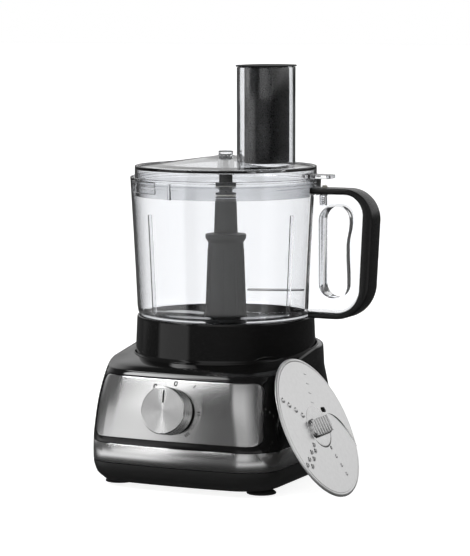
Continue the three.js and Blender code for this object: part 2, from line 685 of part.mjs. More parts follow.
// ---- lid interlock ------------------------------------------------------------------------------------
const interlockPlunger = () => at(lathe([
  [0, PLUNGER.bottom + 6], [3, PLUNGER.bottom + 6], [3, PLUNGER.bottom + 7.6],
  [PLUNGER.radius, PLUNGER.bottom + 7.6],
  [PLUNGER.radius, PLUNGER.top - 1], [PLUNGER.radius - 1, PLUNGER.top], [0, PLUNGER.top],
], 12), PLUNGER.x, 0);

function interlockSpring() {
  const turns = 4;
  const low = PLUNGER.bottom - 0.8;
  const high = PLUNGER.bottom + 5.2;
  const points = Array.from({ length: turns * 8 + 1 }, (_, i) => {
    const a = (i / 8) * 2 * Math.PI;
    return [PLUNGER.x + 2.5 * Math.cos(a), 2.5 * Math.sin(a), lerp(low, high, i / (turns * 8))];
  });
  return tube(points, 0.35, 32, 5);
}

// ---- grating disc ----------------------------------------------------------------------------------------
// Local Z is the disc's axis and points at the viewer's side; local +X points down the slope.
const discGroup = new THREE.Group();
discGroup.rotation.y = radians(90 - DISC.lean);
discGroup.position.set(DISC.x, DISC.y, DISC.z);
machine.add(discGroup);

// The slicing slot and its cutter lie along a chord beside the hub.
const onChord = (geometry) => geometry.rotateZ(radians(41)).translate(7.9, 39.8, 0);

function discPlate() {
  const { radius, thick, hubRadius } = DISC;
  const sheet = lathe([
    [hubRadius + 1, 0], [radius - 3, 0], [radius - 1.6, -1.8], [radius, -1.8], [radius, -0.8],
    [radius - 1, thick - 0.4], [radius - 2.4, thick], [hubRadius + 1, thick], [hubRadius + 1, 0],
  ]);
  const hole = (r, angle) => at(rod(1.7, -3, 3, 8), r, 0).rotateZ(radians(angle));
  const rows = [
    [234, 25, 35.5, 45.5, 55], [297, 27, 38, 49, 57], [303.5, 31.5, 42, 52], [18, 21.6, 30.4, 39.2, 48.3],
  ];
  const holes = rows.flatMap(([angle, ...reaches]) => reaches.map((r) => hole(r, angle)));
  return cut(sheet, ...holes, onChord(box(-19, 19, -2.2, 2.2, -3, 3)));
}

const discHub = () => lathe([
  [0, 3.4], [0, 5.2], [6, 5.2], [9, 3.4], [DISC.hubRadius - 1, 2.4], [DISC.hubRadius + 3.5, 2],
  [DISC.hubRadius + 3.5, DISC.thick + GAP], [DISC.hubRadius + 0.6, DISC.thick + GAP],
  [DISC.hubRadius + 0.6, -8],
  [8, -8], [7.4, 3], [0, 3.4],
], 24);

// Raised cutting edge that stands over the slicing slot.
function discBlade() {
  return onChord(box(-18, 18, 0.4, 7.2, 0, 0.9).rotateX(radians(-14)).translate(0, 0, 3.4));
}

// ---- assembly ----------------------------------------------------------------------------------------------
place('base_tray', baseTray(), mattBlack);
place('steel_band', steelBand(), brushedSteel);
place('housing', housing(), glossBlack);
place('front_panel', frontPanel(), brushedSteel);
place('bowl_seat', bowlSeat(), glossBlack);
const corners = ['front_right', 'front_left', 'rear_right', 'rear_left'];
corners.forEach((corner, i) => {
  place(`foot_${corner}`, at(foot(), ...FEET[i]), rubber);
  place(`tray_screw_${corner}`, at(trayScrew(), ...POSTS[i]), motorSteel);
});
place('cord_grommet', cordGrommet(), rubber);

place('knob_core', knobCore(), mattBlack, knobGroup);
place('knob_face', knobFace(), brushedSteel, knobGroup);
place('rotary_switch', rotarySwitch(), nylon, knobGroup);
place('control_board', controlBoard(), boardGreen);
place('bowl_switch', box(50, 70, -5, 5, 118.5, 130.2), mattBlack);

place('motor_stator', atMotor(motorStator()), motorSteel);
place('field_coil_right', atMotor(fieldCoil(1)), copper);
place('field_coil_left', atMotor(fieldCoil(-1)), copper);
place('motor_bracket_lower', atMotor(motorBracket(29.5, 33, 46, 32, MOTOR.stackBottom - GAP)), motorSteel);
place('motor_bracket_upper', atMotor(motorBracket(104, 108, 31, MOTOR.stackTop + GAP, 105)), motorSteel);
place('motor_bearing_lower', atMotor(ring(8, 2.8, 29.2, 33.8)), bronze);
place('motor_bearing_upper', atMotor(ring(8, 2.8, 103.8, 108.4)), bronze);
place('brush_holder_right', atMotor(brushHolder(1)), nylon);
place('brush_holder_left', atMotor(brushHolder(-1)), nylon);
[-1, 1].forEach((side) => {
  const name = side > 0 ? 'motor_screw_right' : 'motor_screw_left';
  place(name, at(motorScrew(), side * MOTOR.screwX, MOTOR.y), motorSteel);
});
place('rotor_shaft', atMotor(rod(MOTOR.shaft, 12, 110)), motorSteel);
place('rotor_core', atMotor(rotorCore()), motorSteel);
place('commutator', atMotor(commutator()), copper);
place('cooling_fan', atMotor(coolingFan()), nylon);
place('motor_pulley', atMotor(ribbedPulley(PULLEY.motor, MOTOR.shaft + GAP)), motorSteel);
place('drive_belt', driveBelt(), rubber);

place('drive_shaft', rod(SPINDLE.radius, SPINDLE.bottom, SPINDLE.top), motorSteel);
place('drive_pulley', drivePulley(), nylon);
place('drive_coupler', driveCoupler(), nylon);
place('spindle_bush_lower', ring(8, SPINDLE.radius + GAP, TRAY_FLOOR + GAP, 14.5), bronze);
place('spindle_bush_upper', ring(7.7, SPINDLE.radius + GAP, 113, 131), bronze);
place('shaft_seal', ring(9.5, SPINDLE.radius + GAP, SEAT.floor + GAP, 136), rubber);

place('bowl', bowl(), clearPlastic);
place('bowl_handle', bowlHandle(), clearPlastic);
place('handle_grip', handleGrip(), mattBlack);
place('grip_screw', gripScrew(), motorSteel);
place('blade_hub', bladeHub(), hubGrey);
place('hub_pin', hubPin(), hubGrey);
place('blade_lower', blade(200, BLADE.lower), polishedSteel);
place('blade_upper', blade(20, BLADE.upper), polishedSteel);
place('lid', lid(), clearPlastic);
place('pusher_body', pusherBody(), mattBlack);
place('pusher_cap', pusherCap(), mattBlack);
place('interlock_plunger', interlockPlunger(), nylon);
place('interlock_spring', interlockSpring(), polishedSteel);

place('disc_plate', discPlate(), polishedSteel, discGroup);
place('disc_hub', discHub(), polishedSteel, discGroup);
place('disc_blade', discBlade(), polishedSteel, discGroup);

// Footprint: left side of the band to the handle, knob rim to the cord grommet.
const widest = Math.max(...BASE_LEVELS.map((level) => level[1]));
const knobRimReach = KNOB.front + KNOB.depth * Math.cos(radians(KNOB.tilt))
  + (KNOB.radius - 0.8) * Math.sin(radians(KNOB.tilt));
machine.position.set(-(HANDLE.outer - widest) / 2, -(GROMMET.reach - knobRimReach) / 2, 0);

export default machine;
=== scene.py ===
"""Looks of the food processor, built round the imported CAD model.

Shapes are drawn in millimetres about the drive axis, with +Z up and the front at -Y, and are
turned into metres in the CAD's own frame by piece().
"""

from math import asin, cos, degrees, hypot, pi, radians, sin, sqrt

import bmesh
import bpy
from mathutils import Matrix, Vector


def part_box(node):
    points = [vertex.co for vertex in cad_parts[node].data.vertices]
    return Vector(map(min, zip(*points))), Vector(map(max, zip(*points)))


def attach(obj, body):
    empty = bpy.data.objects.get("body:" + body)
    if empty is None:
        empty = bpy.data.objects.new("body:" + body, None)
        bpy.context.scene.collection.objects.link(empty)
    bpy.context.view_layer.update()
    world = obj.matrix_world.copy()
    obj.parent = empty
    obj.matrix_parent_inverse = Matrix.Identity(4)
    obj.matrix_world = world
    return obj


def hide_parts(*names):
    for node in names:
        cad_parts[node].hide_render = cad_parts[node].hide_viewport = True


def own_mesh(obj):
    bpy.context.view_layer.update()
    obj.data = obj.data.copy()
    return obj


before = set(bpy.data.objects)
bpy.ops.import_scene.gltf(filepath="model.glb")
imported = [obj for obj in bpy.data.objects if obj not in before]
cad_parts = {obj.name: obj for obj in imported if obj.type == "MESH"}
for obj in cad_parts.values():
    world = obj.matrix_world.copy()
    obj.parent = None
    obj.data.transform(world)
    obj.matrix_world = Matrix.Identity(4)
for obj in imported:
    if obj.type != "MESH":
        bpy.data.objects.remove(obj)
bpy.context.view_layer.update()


# ---- where things are ------------------------------------------------------------------------
def millimetres(node):
    """Lowest and highest corner of a CAD node, in millimetres about the drive axis."""
    low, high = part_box(node)
    return (low - AXIS) * 1000, (high - AXIS) * 1000


_shaft_low, _shaft_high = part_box("drive_shaft")
AXIS = Vector(((_shaft_low.x + _shaft_high.x) / 2, (_shaft_low.y + _shaft_high.y) / 2, 0))

# Base outline by height: z, half width, front reach, back reach, front and back corner radius
BASE_LEVELS = [
    (4.8, 82.5, 104.5, 85, 30, 62), (12, 87.6, 110.2, 89.5, 30, 63), (22.5, 89.5, 112, 91.6, 29.5, 64),
    (39.8, 89.8, 111, 92, 29, 66), (60, 89, 109.5, 91.2, 31, 70), (75, 88.1, 107.5, 89.6, 33, 73),
    (88, 87.2, 103.8, 87.6, 35, 76), (98, 86.6, 99.6, 86.4, 37, 79), (104, 86, 96.6, 85.6, 38, 80),
]
FRONT_BULGE = 5
BAND_LOW, BAND_HIGH = (corner.z for corner in millimetres("steel_band"))
PANEL = {"lower_half": 82, "upper_half": 77.5, "low": 45.2, "high": 98, "corner": 8}
DECK_R = 82.5
KNOB_TILT = 12
KNOB_HEIGHT, KNOB_FRONT, KNOB_R, KNOB_DEPTH = 71.5, 108.2, 20.6, 19.5
FEET = {"front_right": (69, -74), "front_left": (-69, -74), "rear_right": (56, 58), "rear_left": (-56, 58)}
POSTS = [(60, -60), (-60, -60), (46, 68), (-46, 68)]
BOWL_RIM = millimetres("bowl")[1].z
BOWL_RIM_R, BOWL_FOOT_R, BOWL_WALL = 85.3, 79.2, 2.5
WALL_FOOT = 152  # the bowl's wall leans out above this height and curves in to the seat below it
LEDGE = 263.2
LID_RIM, LID_R, LID_APEX, LID_SHEET = 278.6, 81.2, 288, 2.2
TUBE = {"x": 39.6, "hx": 21, "hy": 30, "wall": 2.2, "top": 366.1}
PUSHER = {"hx": 16, "hy": 25, "low": 281.5, "cap": 366.4, "top": 368}
HANDLE = {
    "outer": 145, "skin": 9.3, "low": 146.4, "high": 261, "grip": 22, "clear": 17, "corner": 32,
    "top_corner": 27}
PLUNGER_X = 96
FINGER_GAP = {"left": 96, "right": 123, "low": 165, "high": 245}
DISC_R, DISC_LEAN = 64, 26
DISC_AT = (114.8, -57.5, 58.6)

CAMERA = {"azimuth": 25.115, "distance": 2196.2, "height": 410.1, "across": 8.2, "aim": 177.0, "lens": 159.5}
FLOOR_HALF, FLOOR_GLOW = 30.0, 0.88
KEY_RADIANCE = 16.0
LAMP_AT, LAMP_AIM, LAMP_SIZE, LAMP_WATTS = (-0.35, -0.75, 1.5), (0, 0, 0.1), (0.9, 0.35), 6

UP = Vector((0, 0, 1))
UPRIGHT = Matrix.Rotation(radians(90), 4, "X")  # a plate drawn in XY stands up in XZ


# ---- geometry: (vertices, faces, uvs) --------------------------------------------------------
def skin(rings, closed=False, caps=False):
    """Faces between rings with the same number of points; u runs round each ring."""
    n, m = len(rings[0]), len(rings)
    verts = [Vector(p) for ring in rings for p in ring]
    faces, uvs = [], []
    for k in range(m if closed else m - 1):
        up = (k + 1) % m
        for i in range(n):
            j = (i + 1) % n
            faces.append((k * n + i, k * n + j, up * n + j, up * n + i))
            u, v = (i / n, (i + 1) / n), (k / m, (k + 1) / m)
            uvs.append(((u[0], v[0]), (u[1], v[0]), (u[1], v[1]), (u[0], v[1])))
    if caps:
        for start in (0, (m - 1) * n):
            faces.append(tuple(range(start, start + n)))
            uvs.append(tuple((verts[start + i].x / 200, verts[start + i].y / 200) for i in range(n)))
    return verts, faces, uvs


def soften(points, radius=0.5, steps=3, closed=True):
    """Rounds the corners of a profile. A point may carry its own radius as a third number."""
    out, count = [], len(points)
    for i, point in enumerate(points):
        p = Vector(point[:2])
        r = point[2] if len(point) > 2 else radius
        if (not closed and i in (0, count - 1)) or r <= 0:
            out.append(tuple(p))
            continue
        a, b = Vector(points[i - 1][:2]) - p, Vector(points[(i + 1) % count][:2]) - p
        if a.length < 1e-6 or b.length < 1e-6:
            out.append(tuple(p))
            continue
        a, b = a.normalized() * min(r, a.length * 0.45), b.normalized() * min(r, b.length * 0.45)
        for s in range(steps + 1):
            t = s / steps
            out.append(tuple(p + a * (1 - t) ** 2 + b * t ** 2))
    return out


def lathe(profile, sides=96, closed=True, radius=0.5, steps=3):
    """Turns a profile of (radius, height) about Z."""
    turns = [2 * pi * i / sides for i in range(sides)]
    rounded = soften(profile, radius, steps, closed)
    return skin([[(r * cos(a), r * sin(a), z) for a in turns] for r, z in rounded], closed=closed)


def add_object(name, data):
    made = bpy.data.objects.new(name, data)
    bpy.context.scene.collection.objects.link(made)
    return made


def final_shape(made):
    """The geometry of an object with its modifiers applied."""
    mesh = bpy.data.meshes.new_from_object(made.evaluated_get(bpy.context.evaluated_depsgraph_get()))
    geometry = [v.co.copy() for v in mesh.vertices], [tuple(p.vertices) for p in mesh.polygons], None
    bpy.data.meshes.remove(mesh)
    return geometry


def slab(outlines, thick, edge=0.6, steps=3):
    """A flat plate in XY, centred on z = 0, with rounded edges. The outlines after the first are holes."""
    curve = bpy.data.curves.new("outline", "CURVE")
    curve.dimensions, curve.fill_mode = "2D", "BOTH"
    curve.extrude, curve.bevel_depth, curve.offset = thick / 2 - edge, edge, -edge
    curve.bevel_resolution = steps
    for outline in outlines:
        spline = curve.splines.new("POLY")
        spline.points.add(len(outline) - 1)
        for point, (x, y) in zip(spline.points, outline):
            point.co = (x, y, 0, 1)
        spline.use_cyclic_u = True
    carrier = add_object("outline", curve)
    geometry = final_shape(carrier)
    bpy.data.objects.remove(carrier)
    bpy.data.curves.remove(curve)
    return geometry


def merge(*parts):
    verts, faces, uvs = [], [], []
    for part_verts, part_faces, part_uvs in parts:
        base = len(verts)
        verts += part_verts
        faces += [tuple(i + base for i in face) for face in part_faces]
        uvs += part_uvs or [((0, 0),) * len(face) for face in part_faces]
    return verts, faces, uvs


def moved(geometry, *matrices):
    matrix = Matrix.Identity(4)
    for m in matrices:
        matrix = m @ matrix
    return [matrix @ v for v in geometry[0]], geometry[1], geometry[2]


def shift(x=0, y=0, z=0):
    return Matrix.Translation((x, y, z))


def turn(angle, axis="Z"):
    return Matrix.Rotation(radians(angle), 4, axis)


def to_mesh(name, geometry, scale=1.0):
    """A clean mesh: doubles merged, faces turned outwards."""
    verts, faces, uvs = geometry
    made = bmesh.new()
    layer = made.loops.layers.uv.new("UVMap") if uvs else None
    points = [made.verts.new(v) for v in verts]
    for n, face in enumerate(faces):
        try:
            new = made.faces.new([points[i] for i in face])
        except ValueError:
            continue
        if layer:
            for loop, uv in zip(new.loops, uvs[n]):
                loop[layer].uv = uv
    bmesh.ops.remove_doubles(made, verts=made.verts, dist=1e-3)
    bmesh.ops.dissolve_degenerate(made, edges=made.edges, dist=1e-4)
    bmesh.ops.recalc_face_normals(made, faces=made.faces)
    mesh = bpy.data.meshes.new(name)
    made.transform(Matrix.Scale(scale, 4))
    made.to_mesh(mesh)
    made.free()
    return mesh


def carve(body, *others, operation="DIFFERENCE"):
    """Boolean of solids, one after the other."""
    main = add_object("carved", to_mesh("carved", body))
    tools = [add_object("tool", to_mesh("tool", geometry)) for geometry in others]
    for tool in tools:
        modifier = main.modifiers.new("cut", "BOOLEAN")
        modifier.operation, modifier.solver, modifier.object = operation, "EXACT", tool
    geometry = final_shape(main)
    for done in (main, *tools):
        bpy.data.objects.remove(done)
    return geometry


def piece(name, geometry, material, body, slot, *nodes, stands=None, sharp=32, flat=False):
    """One visible piece, riding on a CAD body. stands: its own frame in millimetres, if it has one.
    flat: its level faces keep their own shading, so that the corners beside them don't streak them."""
    scale = 0.001
    mesh = to_mesh(name, geometry, scale)
    if stands is None:
        mesh.transform(Matrix.Translation(AXIS))
    mesh.shade_smooth()
    mesh.set_sharp_from_angle(angle=radians(sharp))
    if flat:
        for face in mesh.polygons:
            face.use_smooth = abs(face.normal.z) < 0.9995
    mesh.materials.append(material)
    made = add_object(name, mesh)
    if stands is not None:
        place = stands.copy()
        place.translation = stands.translation * scale + AXIS
        made.matrix_world = place
    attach(made, body)
    if nodes:
        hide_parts(*nodes)
    return made


def lerp(a, b, t):
    return a + (b - a) * t


def smooth(t):
    t = min(1, max(0, t))
    return t * t * (3 - 2 * t)


def polar(r, angle):
    """The point (x, y) at distance r and an angle in degrees."""
    return r * cos(radians(angle)), r * sin(radians(angle))


def arc(cx, cy, r, start, end, steps):
    return [(cx + x, cy + y) for x, y in (polar(r, lerp(start, end, i / steps)) for i in range(steps + 1))]


def rounded_box(x0, x1, y0, y1, r, steps=8):
    return [
        *arc(x1 - r, y0 + r, r, -90, 0, steps), *arc(x1 - r, y1 - r, r, 0, 90, steps),
        *arc(x0 + r, y1 - r, r, 90, 180, steps), *arc(x0 + r, y0 + r, r, 180, 270, steps),
    ]


def circle(x, y, r, steps=24):
    return arc(x, y, r, 0, 360 * (1 - 1 / steps), steps - 1)


def oval_ring(hx, hy, z, x=0, power=3.4, count=88):
    """A rounded rectangle whose sides bulge a little (a superellipse)."""
    ring = []
    for i in range(count):
        c, s = cos(2 * pi * i / count), sin(2 * pi * i / count)
        reach = (abs(c / hx) ** power + abs(s / hy) ** power) ** (-1 / power)
        ring.append((x + reach * c, reach * s, z))
    return ring


# ---- materials -------------------------------------------------------------------------------
def rgba(colour):
    """Red, green, blue and alpha, from a grey or from red, green and blue."""
    return (*(colour if isinstance(colour, tuple) else (colour,) * 3), 1)


class Tree:
    """The nodes of a material or of the world, with short ways to add and to feed them."""
    def __init__(self, owner):
        self.nodes, self.links = owner.node_tree.nodes, owner.node_tree.links
        self.shader = self.nodes.get("Principled BSDF")

    def feed(self, socket, value):
        """Links an output to a socket, or gives the socket a constant."""
        if isinstance(value, bpy.types.NodeSocket):
            self.links.new(value, socket)
        else:
            socket.default_value = rgba(value) if socket.type == "RGBA" else value

    def fill(self, node, **values):
        """Names in lower case are settings of the node. The others are its inputs, with _ for a space."""
        for key, value in values.items():
            if key.islower():
                setattr(node, key, value)
            else:
                self.feed(node.inputs[key.replace("_", " ")], value)
        return node

    def add(self, kind, **values):
        return self.fill(self.nodes.new("ShaderNode" + kind), **values)

    def math(self, operation, *values):
        made = self.add("Math", operation=operation)
        for socket, value in zip(made.inputs, values):
            self.feed(socket, value)
        return made.outputs[0]

    def mix(self, factor, a, b):
        made = self.add("Mix", data_type="RGBA")
        for socket, value in zip((made.inputs[0], *made.inputs[6:8]), (factor, a, b)):  # its colour sockets
            self.feed(socket, value)
        return made.outputs[2]

    def ramp(self, value, stops, mode="LINEAR"):
        """A colour ramp. Each stop is a place, and a grey or a colour."""
        made = self.add("ValToRGB", Fac=value)
        ramp = made.color_ramp
        ramp.interpolation = mode
        while len(ramp.elements) < len(stops):
            ramp.elements.new(0.5)
        for element, (place, colour) in zip(ramp.elements, stops):
            element.position, element.color = place, rgba(colour)
        return made.outputs["Color"]


def material(name, colour, roughness, metallic=0.0, **sockets):
    made = bpy.data.materials.new(name)
    made.use_nodes = True
    tree = Tree(made)
    tree.fill(tree.shader, Base_Color=colour, Roughness=roughness, Metallic=metallic, **sockets)
    return made


def grain(made, scale, low, high, rough, bump=0.0, depth=0.0001, stretch=(1, 1, 1), detail=3, rings=False):
    """Noise that varies colour (low to high) and roughness, and raises the surface a little."""
    tree = Tree(made)
    place = tree.add("TexCoord").outputs["Object"]
    if rings:
        x, y, z = tree.add("SeparateXYZ", Vector=place).outputs
        flat = tree.add("CombineXYZ", X=x, Y=y)
        reach = tree.add("VectorMath", operation="LENGTH", Vector=flat.outputs[0])
        place = tree.add("CombineXYZ", X=reach.outputs["Value"], Z=z).outputs[0]
    mapping = tree.add("Mapping", Scale=stretch, Vector=place)
    height = tree.add("TexNoise", Scale=scale, Detail=detail, Vector=mapping.outputs[0]).outputs["Fac"]
    darkest, lightest = 0.3, 0.7  # most of the noise lies between these
    spread = tree.add(
        "MapRange", Value=height, From_Min=darkest, From_Max=lightest, To_Min=rough[0], To_Max=rough[1])
    tint = tree.ramp(height, [(darkest, low), (lightest, high)])
    tree.fill(tree.shader, Base_Color=tint, Roughness=spread.outputs["Result"])
    if bump:
        raised = tree.add("Bump", Strength=bump, Distance=depth, Height=height)
        tree.fill(tree.shader, Normal=raised.outputs["Normal"])
    return made


def grey(v, tint):
    """A grey, bluer with a higher tint."""
    return (v * (1 - tint), v, v * (1 + tint))


def brushed(made, turned=0.25):
    """Ties the shader's tangent to the piece's own UVs, so that the brushing follows its outline."""
    tree = Tree(made)
    tangent = tree.add("Tangent", direction_type="UV_MAP", uv_map="UVMap")
    tree.fill(tree.shader, Tangent=tangent.outputs[0], Anisotropic_Rotation=turned)
    return made


def painted_edge_shade(made, stops):
    """Clear plastic keeps its own faint tint, and its colour is painted darker where it is seen at a slant:
    painted shade standing in for the dark refracted edges of its walls.
    """
    tree = Tree(made)
    facing = tree.add("LayerWeight", Blend=0.5)
    tree.fill(tree.shader, Base_Color=tree.ramp(facing.outputs["Facing"], stops))
    return made


BLACK_GLOSS = grain(
    material("black_gloss", 0.004, 0.08, Specular_IOR_Level=0.4),
    420, 0.003, 0.005, (0.05, 0.09), 0.02)
BLACK_SATIN = grain(
    material("black_satin", 0.008, 0.4, Specular_IOR_Level=0.28),
    2600, 0.006, 0.010, (0.34, 0.46), 0.12, 0.00006)
GRIP_BLACK = grain(
    material("grip_black", 0.005, 0.28, Specular_IOR_Level=0.3),
    3200, 0.004, 0.006, (0.24, 0.32), 0.1, 0.00004)
PUSHER_BLACK = grain(
    material("pusher_black", grey(0.009, 0.08), 0.28, Specular_IOR_Level=0.5),
    900, grey(0.008, 0.08), grey(0.011, 0.08), (0.26, 0.3), 0.01, 0.00004)
BRUSHED = brushed(grain(
    material("brushed_steel", 0.6, 0.2, 1.0, Anisotropic=0.85),
    9, 0.595, 0.605, (0.197, 0.203), stretch=(1, 1, 420), detail=4))
SPUN = brushed(grain(
    material("spun_steel", 0.72, 0.26, 1.0, Anisotropic=0.92),
    1500, 0.69, 0.76, (0.24, 0.28), 0.04, 0.00001, stretch=(1, 1, 0.4), detail=2, rings=True))
POLISHED = grain(
    material("polished_steel", 0.72, 0.16, 1.0),
    300, 0.68, 0.76, (0.13, 0.2), 0.02, 0.00005)
DISC_STEEL = grain(
    material("disc_steel", 0.84, 0.36, 1.0), 260, 0.81, 0.87, (0.33, 0.4), 0.02, 0.00004)
BLADE_STEEL = grain(
    material("blade_steel", 0.66, 0.2, 1.0),
    60, 0.6, 0.7, (0.16, 0.26), 0.04, 0.00004, stretch=(1, 14, 1))
# Its colour is painted darker at a slant: painted shade at the edges of the clear walls.
CLEAR = painted_edge_shade(
    grain(
        material("clear_plastic", 0.88, 0.01, IOR=1.5, Transmission_Weight=1.0),
        90, 0.88, 0.9, (0.0, 0.015), 0.01, 0.0002),
    [(0.0, (0.905, 0.912, 0.925)), (0.5, (0.9, 0.907, 0.92)), (0.78, (0.86, 0.868, 0.885)),
     (1.0, (0.66, 0.67, 0.69))])
HUB_GREY = grain(
    material("hub_grey", grey(0.012, 0.1), 0.38, Specular_IOR_Level=0.3),
    1400, grey(0.010, 0.1), grey(0.014, 0.1), (0.32, 0.44), 0.1, 0.00006)
RUBBER = grain(material("rubber", 0.012, 0.8), 1800, 0.009, 0.016, (0.7, 0.9), 0.25)
NYLON = grain(
    material("nylon", (0.62, 0.6, 0.54), 0.5), 700, (0.58, 0.56, 0.5), (0.66, 0.64, 0.58), (0.45, 0.6), 0.08)
MOTOR_STEEL = grain(
    material("motor_steel", 0.3, 0.42, 1.0),
    240, 0.24, 0.34, (0.36, 0.5), 0.15, stretch=(1, 1, 8))
COPPER = grain(
    material("copper", (0.55, 0.24, 0.12), 0.35, 1.0),
    500, (0.48, 0.2, 0.1), (0.6, 0.28, 0.15), (0.28, 0.42), 0.2, stretch=(1, 1, 6))
BRONZE = grain(
    material("bronze", (0.42, 0.27, 0.1), 0.4, 1.0),
    800, (0.36, 0.23, 0.08), (0.46, 0.3, 0.12), (0.34, 0.48), 0.1)
BOARD = grain(
    material("circuit_board", (0.02, 0.12, 0.05), 0.5),
    600, (0.015, 0.09, 0.04), (0.03, 0.15, 0.07), (0.4, 0.6), 0.1)
INK = grain(material("dial_ink", 0.02, 0.5), 900, 0.015, 0.03, (0.45, 0.6), 0.05)
# Matt black, darker than the satin: partly the knob core's own black plastic, partly painted shade for the
# shadow gap round the knob's base and for the shade inside the back vent slots.
SHADOW_GAP = grain(material("painted_shade_black", 0.006, 0.6), 900, 0.004, 0.009, (0.5, 0.7), 0.1)

NODE_MATERIALS = {
    "black_gloss": BLACK_GLOSS, "black_plastic": BLACK_SATIN, "brushed_steel": BRUSHED,
    "polished_steel": POLISHED, "motor_steel": MOTOR_STEEL, "copper": COPPER, "bronze": BRONZE,
    "clear_plastic": CLEAR, "hub_plastic": HUB_GREY, "nylon": NYLON, "circuit_board": BOARD, "rubber": RUBBER,
}


# ---- base outline ----------------------------------------------------------------------------
def level(z, inset=0.0):
    """Half width, front, back, front and back corner radius of the base at height z, smoothly blended."""
    table = BASE_LEVELS
    z = min(max(z, table[0][0]), table[-1][0])
    k = max(i for i in range(len(table) - 1) if table[i][0] <= z)
    span = table[k + 1][0] - table[k][0]
    t = (z - table[k][0]) / span

    def rate(c, i, j):
        return (table[j][c] - table[i][c]) / (table[j][0] - table[i][0])

    def slope(c, i):
        if i in (0, len(table) - 1):
            return rate(c, i, 1 if i == 0 else len(table) - 2)
        before, after = rate(c, i - 1, i), rate(c, i, i + 1)
        return 0 if before * after <= 0 else 2 * before * after / (before + after)
    out = []
    for c in range(1, 6):
        a, b, m0, m1 = table[k][c], table[k + 1][c], slope(c, k) * span, slope(c, k + 1) * span
        value = (a * (2 * t ** 3 - 3 * t ** 2 + 1) + m0 * (t ** 3 - 2 * t ** 2 + t)
                 + b * (-2 * t ** 3 + 3 * t ** 2) + m1 * (t ** 3 - t ** 2))
        out.append(value - inset)
    return out


CORNER_STEPS, FRONT_STEPS = 12, 26


def outline(z, inset=0.0):
    """The base seen from above at height z, starting at the right end of the front."""
    w, f, b, rf, rb = level(z, inset)
    corners = [(w - rf, -(f - FRONT_BULGE - rf), rf, -90), (w - rb, b - rb, rb, 0),
               (-(w - rb), b - rb, rb, 90), (-(w - rf), -(f - FRONT_BULGE - rf), rf, 180)]
    points = []
    for x, y, r, start in corners:
        points += arc(x, y, r, start, start + 90, CORNER_STEPS)
    left, right = points[-1], points[0]
    points += [(lerp(left[0], right[0], i / FRONT_STEPS), left[1]) for i in range(1, FRONT_STEPS)]
    return [Vector((x, y - (FRONT_BULGE * (1 - (x / w) ** 2) if y < 0 else 0), z)) for x, y in points]


def front_y(x, z, inset=0.0):
    w, f, _, rf, _ = level(z, inset)
    over = abs(x) - (w - rf)
    y = -(f - FRONT_BULGE)
    if over > 0:
        y = -(f - FRONT_BULGE - rf) - sqrt(max(rf * rf - over * over, 0))
    return y - FRONT_BULGE * (1 - (x / w) ** 2)


def deck_edge(y):
    return lerp(104.5, 120.1, smooth((y + 84) / 72)) - 1.5


def deck_top(y):
    return lerp(109.5, 120.5, smooth((y + 90) / 150))


# ---- base pieces -----------------------------------------------------------------------------
def tray():
    """Black skirt: a thin shell with a rounded lower edge and a floor with feet, screws and vents."""
    heights = [22.4, 20, 17, 14, 11, 8.5, 6.6]
    outside = [outline(22.4, 0.7), *[outline(z, 0.15 if z > 22 else 0) for z in heights]]
    low = outline(4.8)

    def drawn_in(share, z):
        return [Vector((p.x * share, p.y * share, z)) for p in low]
    inside = [outline(z, 2.6) for z in (6.8, 12, 18, 22.4)]
    wall = skin([*outside, outline(5.4), drawn_in(0.975, 4.8), drawn_in(0.96, 6.0), *inside], closed=True)
    floor_outline = [(p.x * 0.982, p.y * 0.982) for p in low]
    holes = [circle(x, y, 4.2)[::-1] for x, y in FEET.values()]
    holes += [circle(x, y, 4)[::-1] for x, y in POSTS]
    vents = [rounded_box(-16, 16, 26 + 8 * i, 29 + 8 * i, 1.4, 4)[::-1] for i in range(6)]
    floor = moved(slab([floor_outline, *holes, *vents], 2.2, 0.25, 1), shift(z=6.1))
    boss = lathe([(4.9, 7.2), (11, 7.2), (11, 14), (8.3, 14), (8.3, 8.4), (4.9, 8.4)], 48)
    piece("tray_skirt", merge(wall, floor, boss), BLACK_SATIN, "base", "black_plastic", "base_tray")


def steel_band():
    low, high = BAND_LOW, BAND_HIGH
    rings = [outline(z, inset) for z, inset in (
        (low + 0.35, 0), ((low + high) / 2, 0), (high - 0.35, 0), (high, 0.35), (high, 0.9),
        (high - 0.35, 1.2), (low + 0.35, 1.2), (low, 0.9), (low, 0.35))]
    piece("band_skin", skin(rings, closed=True), BRUSHED, "base", "brushed_steel", "steel_band", sharp=50)


def narrowed(x, z):
    """The window and the panel are a little narrower at the top."""
    low, high = PANEL["low"], PANEL["high"]
    return x * (1 - (1 - PANEL["upper_half"] / PANEL["lower_half"]) * (z - low) / (high - low))


def window_loop(extra, columns, rows):
    """The panel's outline in (x, z), counter-clockwise from the lower left corner's middle."""
    r = PANEL["corner"] + extra
    half, low, high = PANEL["lower_half"] + extra - r, PANEL["low"] - extra + r, PANEL["high"] + extra - r
    corners = [(-half, low), (half, low), (half, high), (-half, high)]
    loop = []
    for side, count in enumerate((columns, rows, columns, rows)):
        start, plain = 90 * side - 135, count - 6
        before = arc(*corners[side], r, start, start + 45, 3)
        after = arc(*corners[(side + 1) % 4], r, start + 45, start + 90, 3)
        (x0, z0), (x1, z1) = before[-1], after[0]
        between = [(lerp(x0, x1, i / plain), lerp(z0, z1, i / plain)) for i in range(1, plain)]
        loop += before + between + after[:-1]
    return [(narrowed(x, z), z) for x, z in loop]


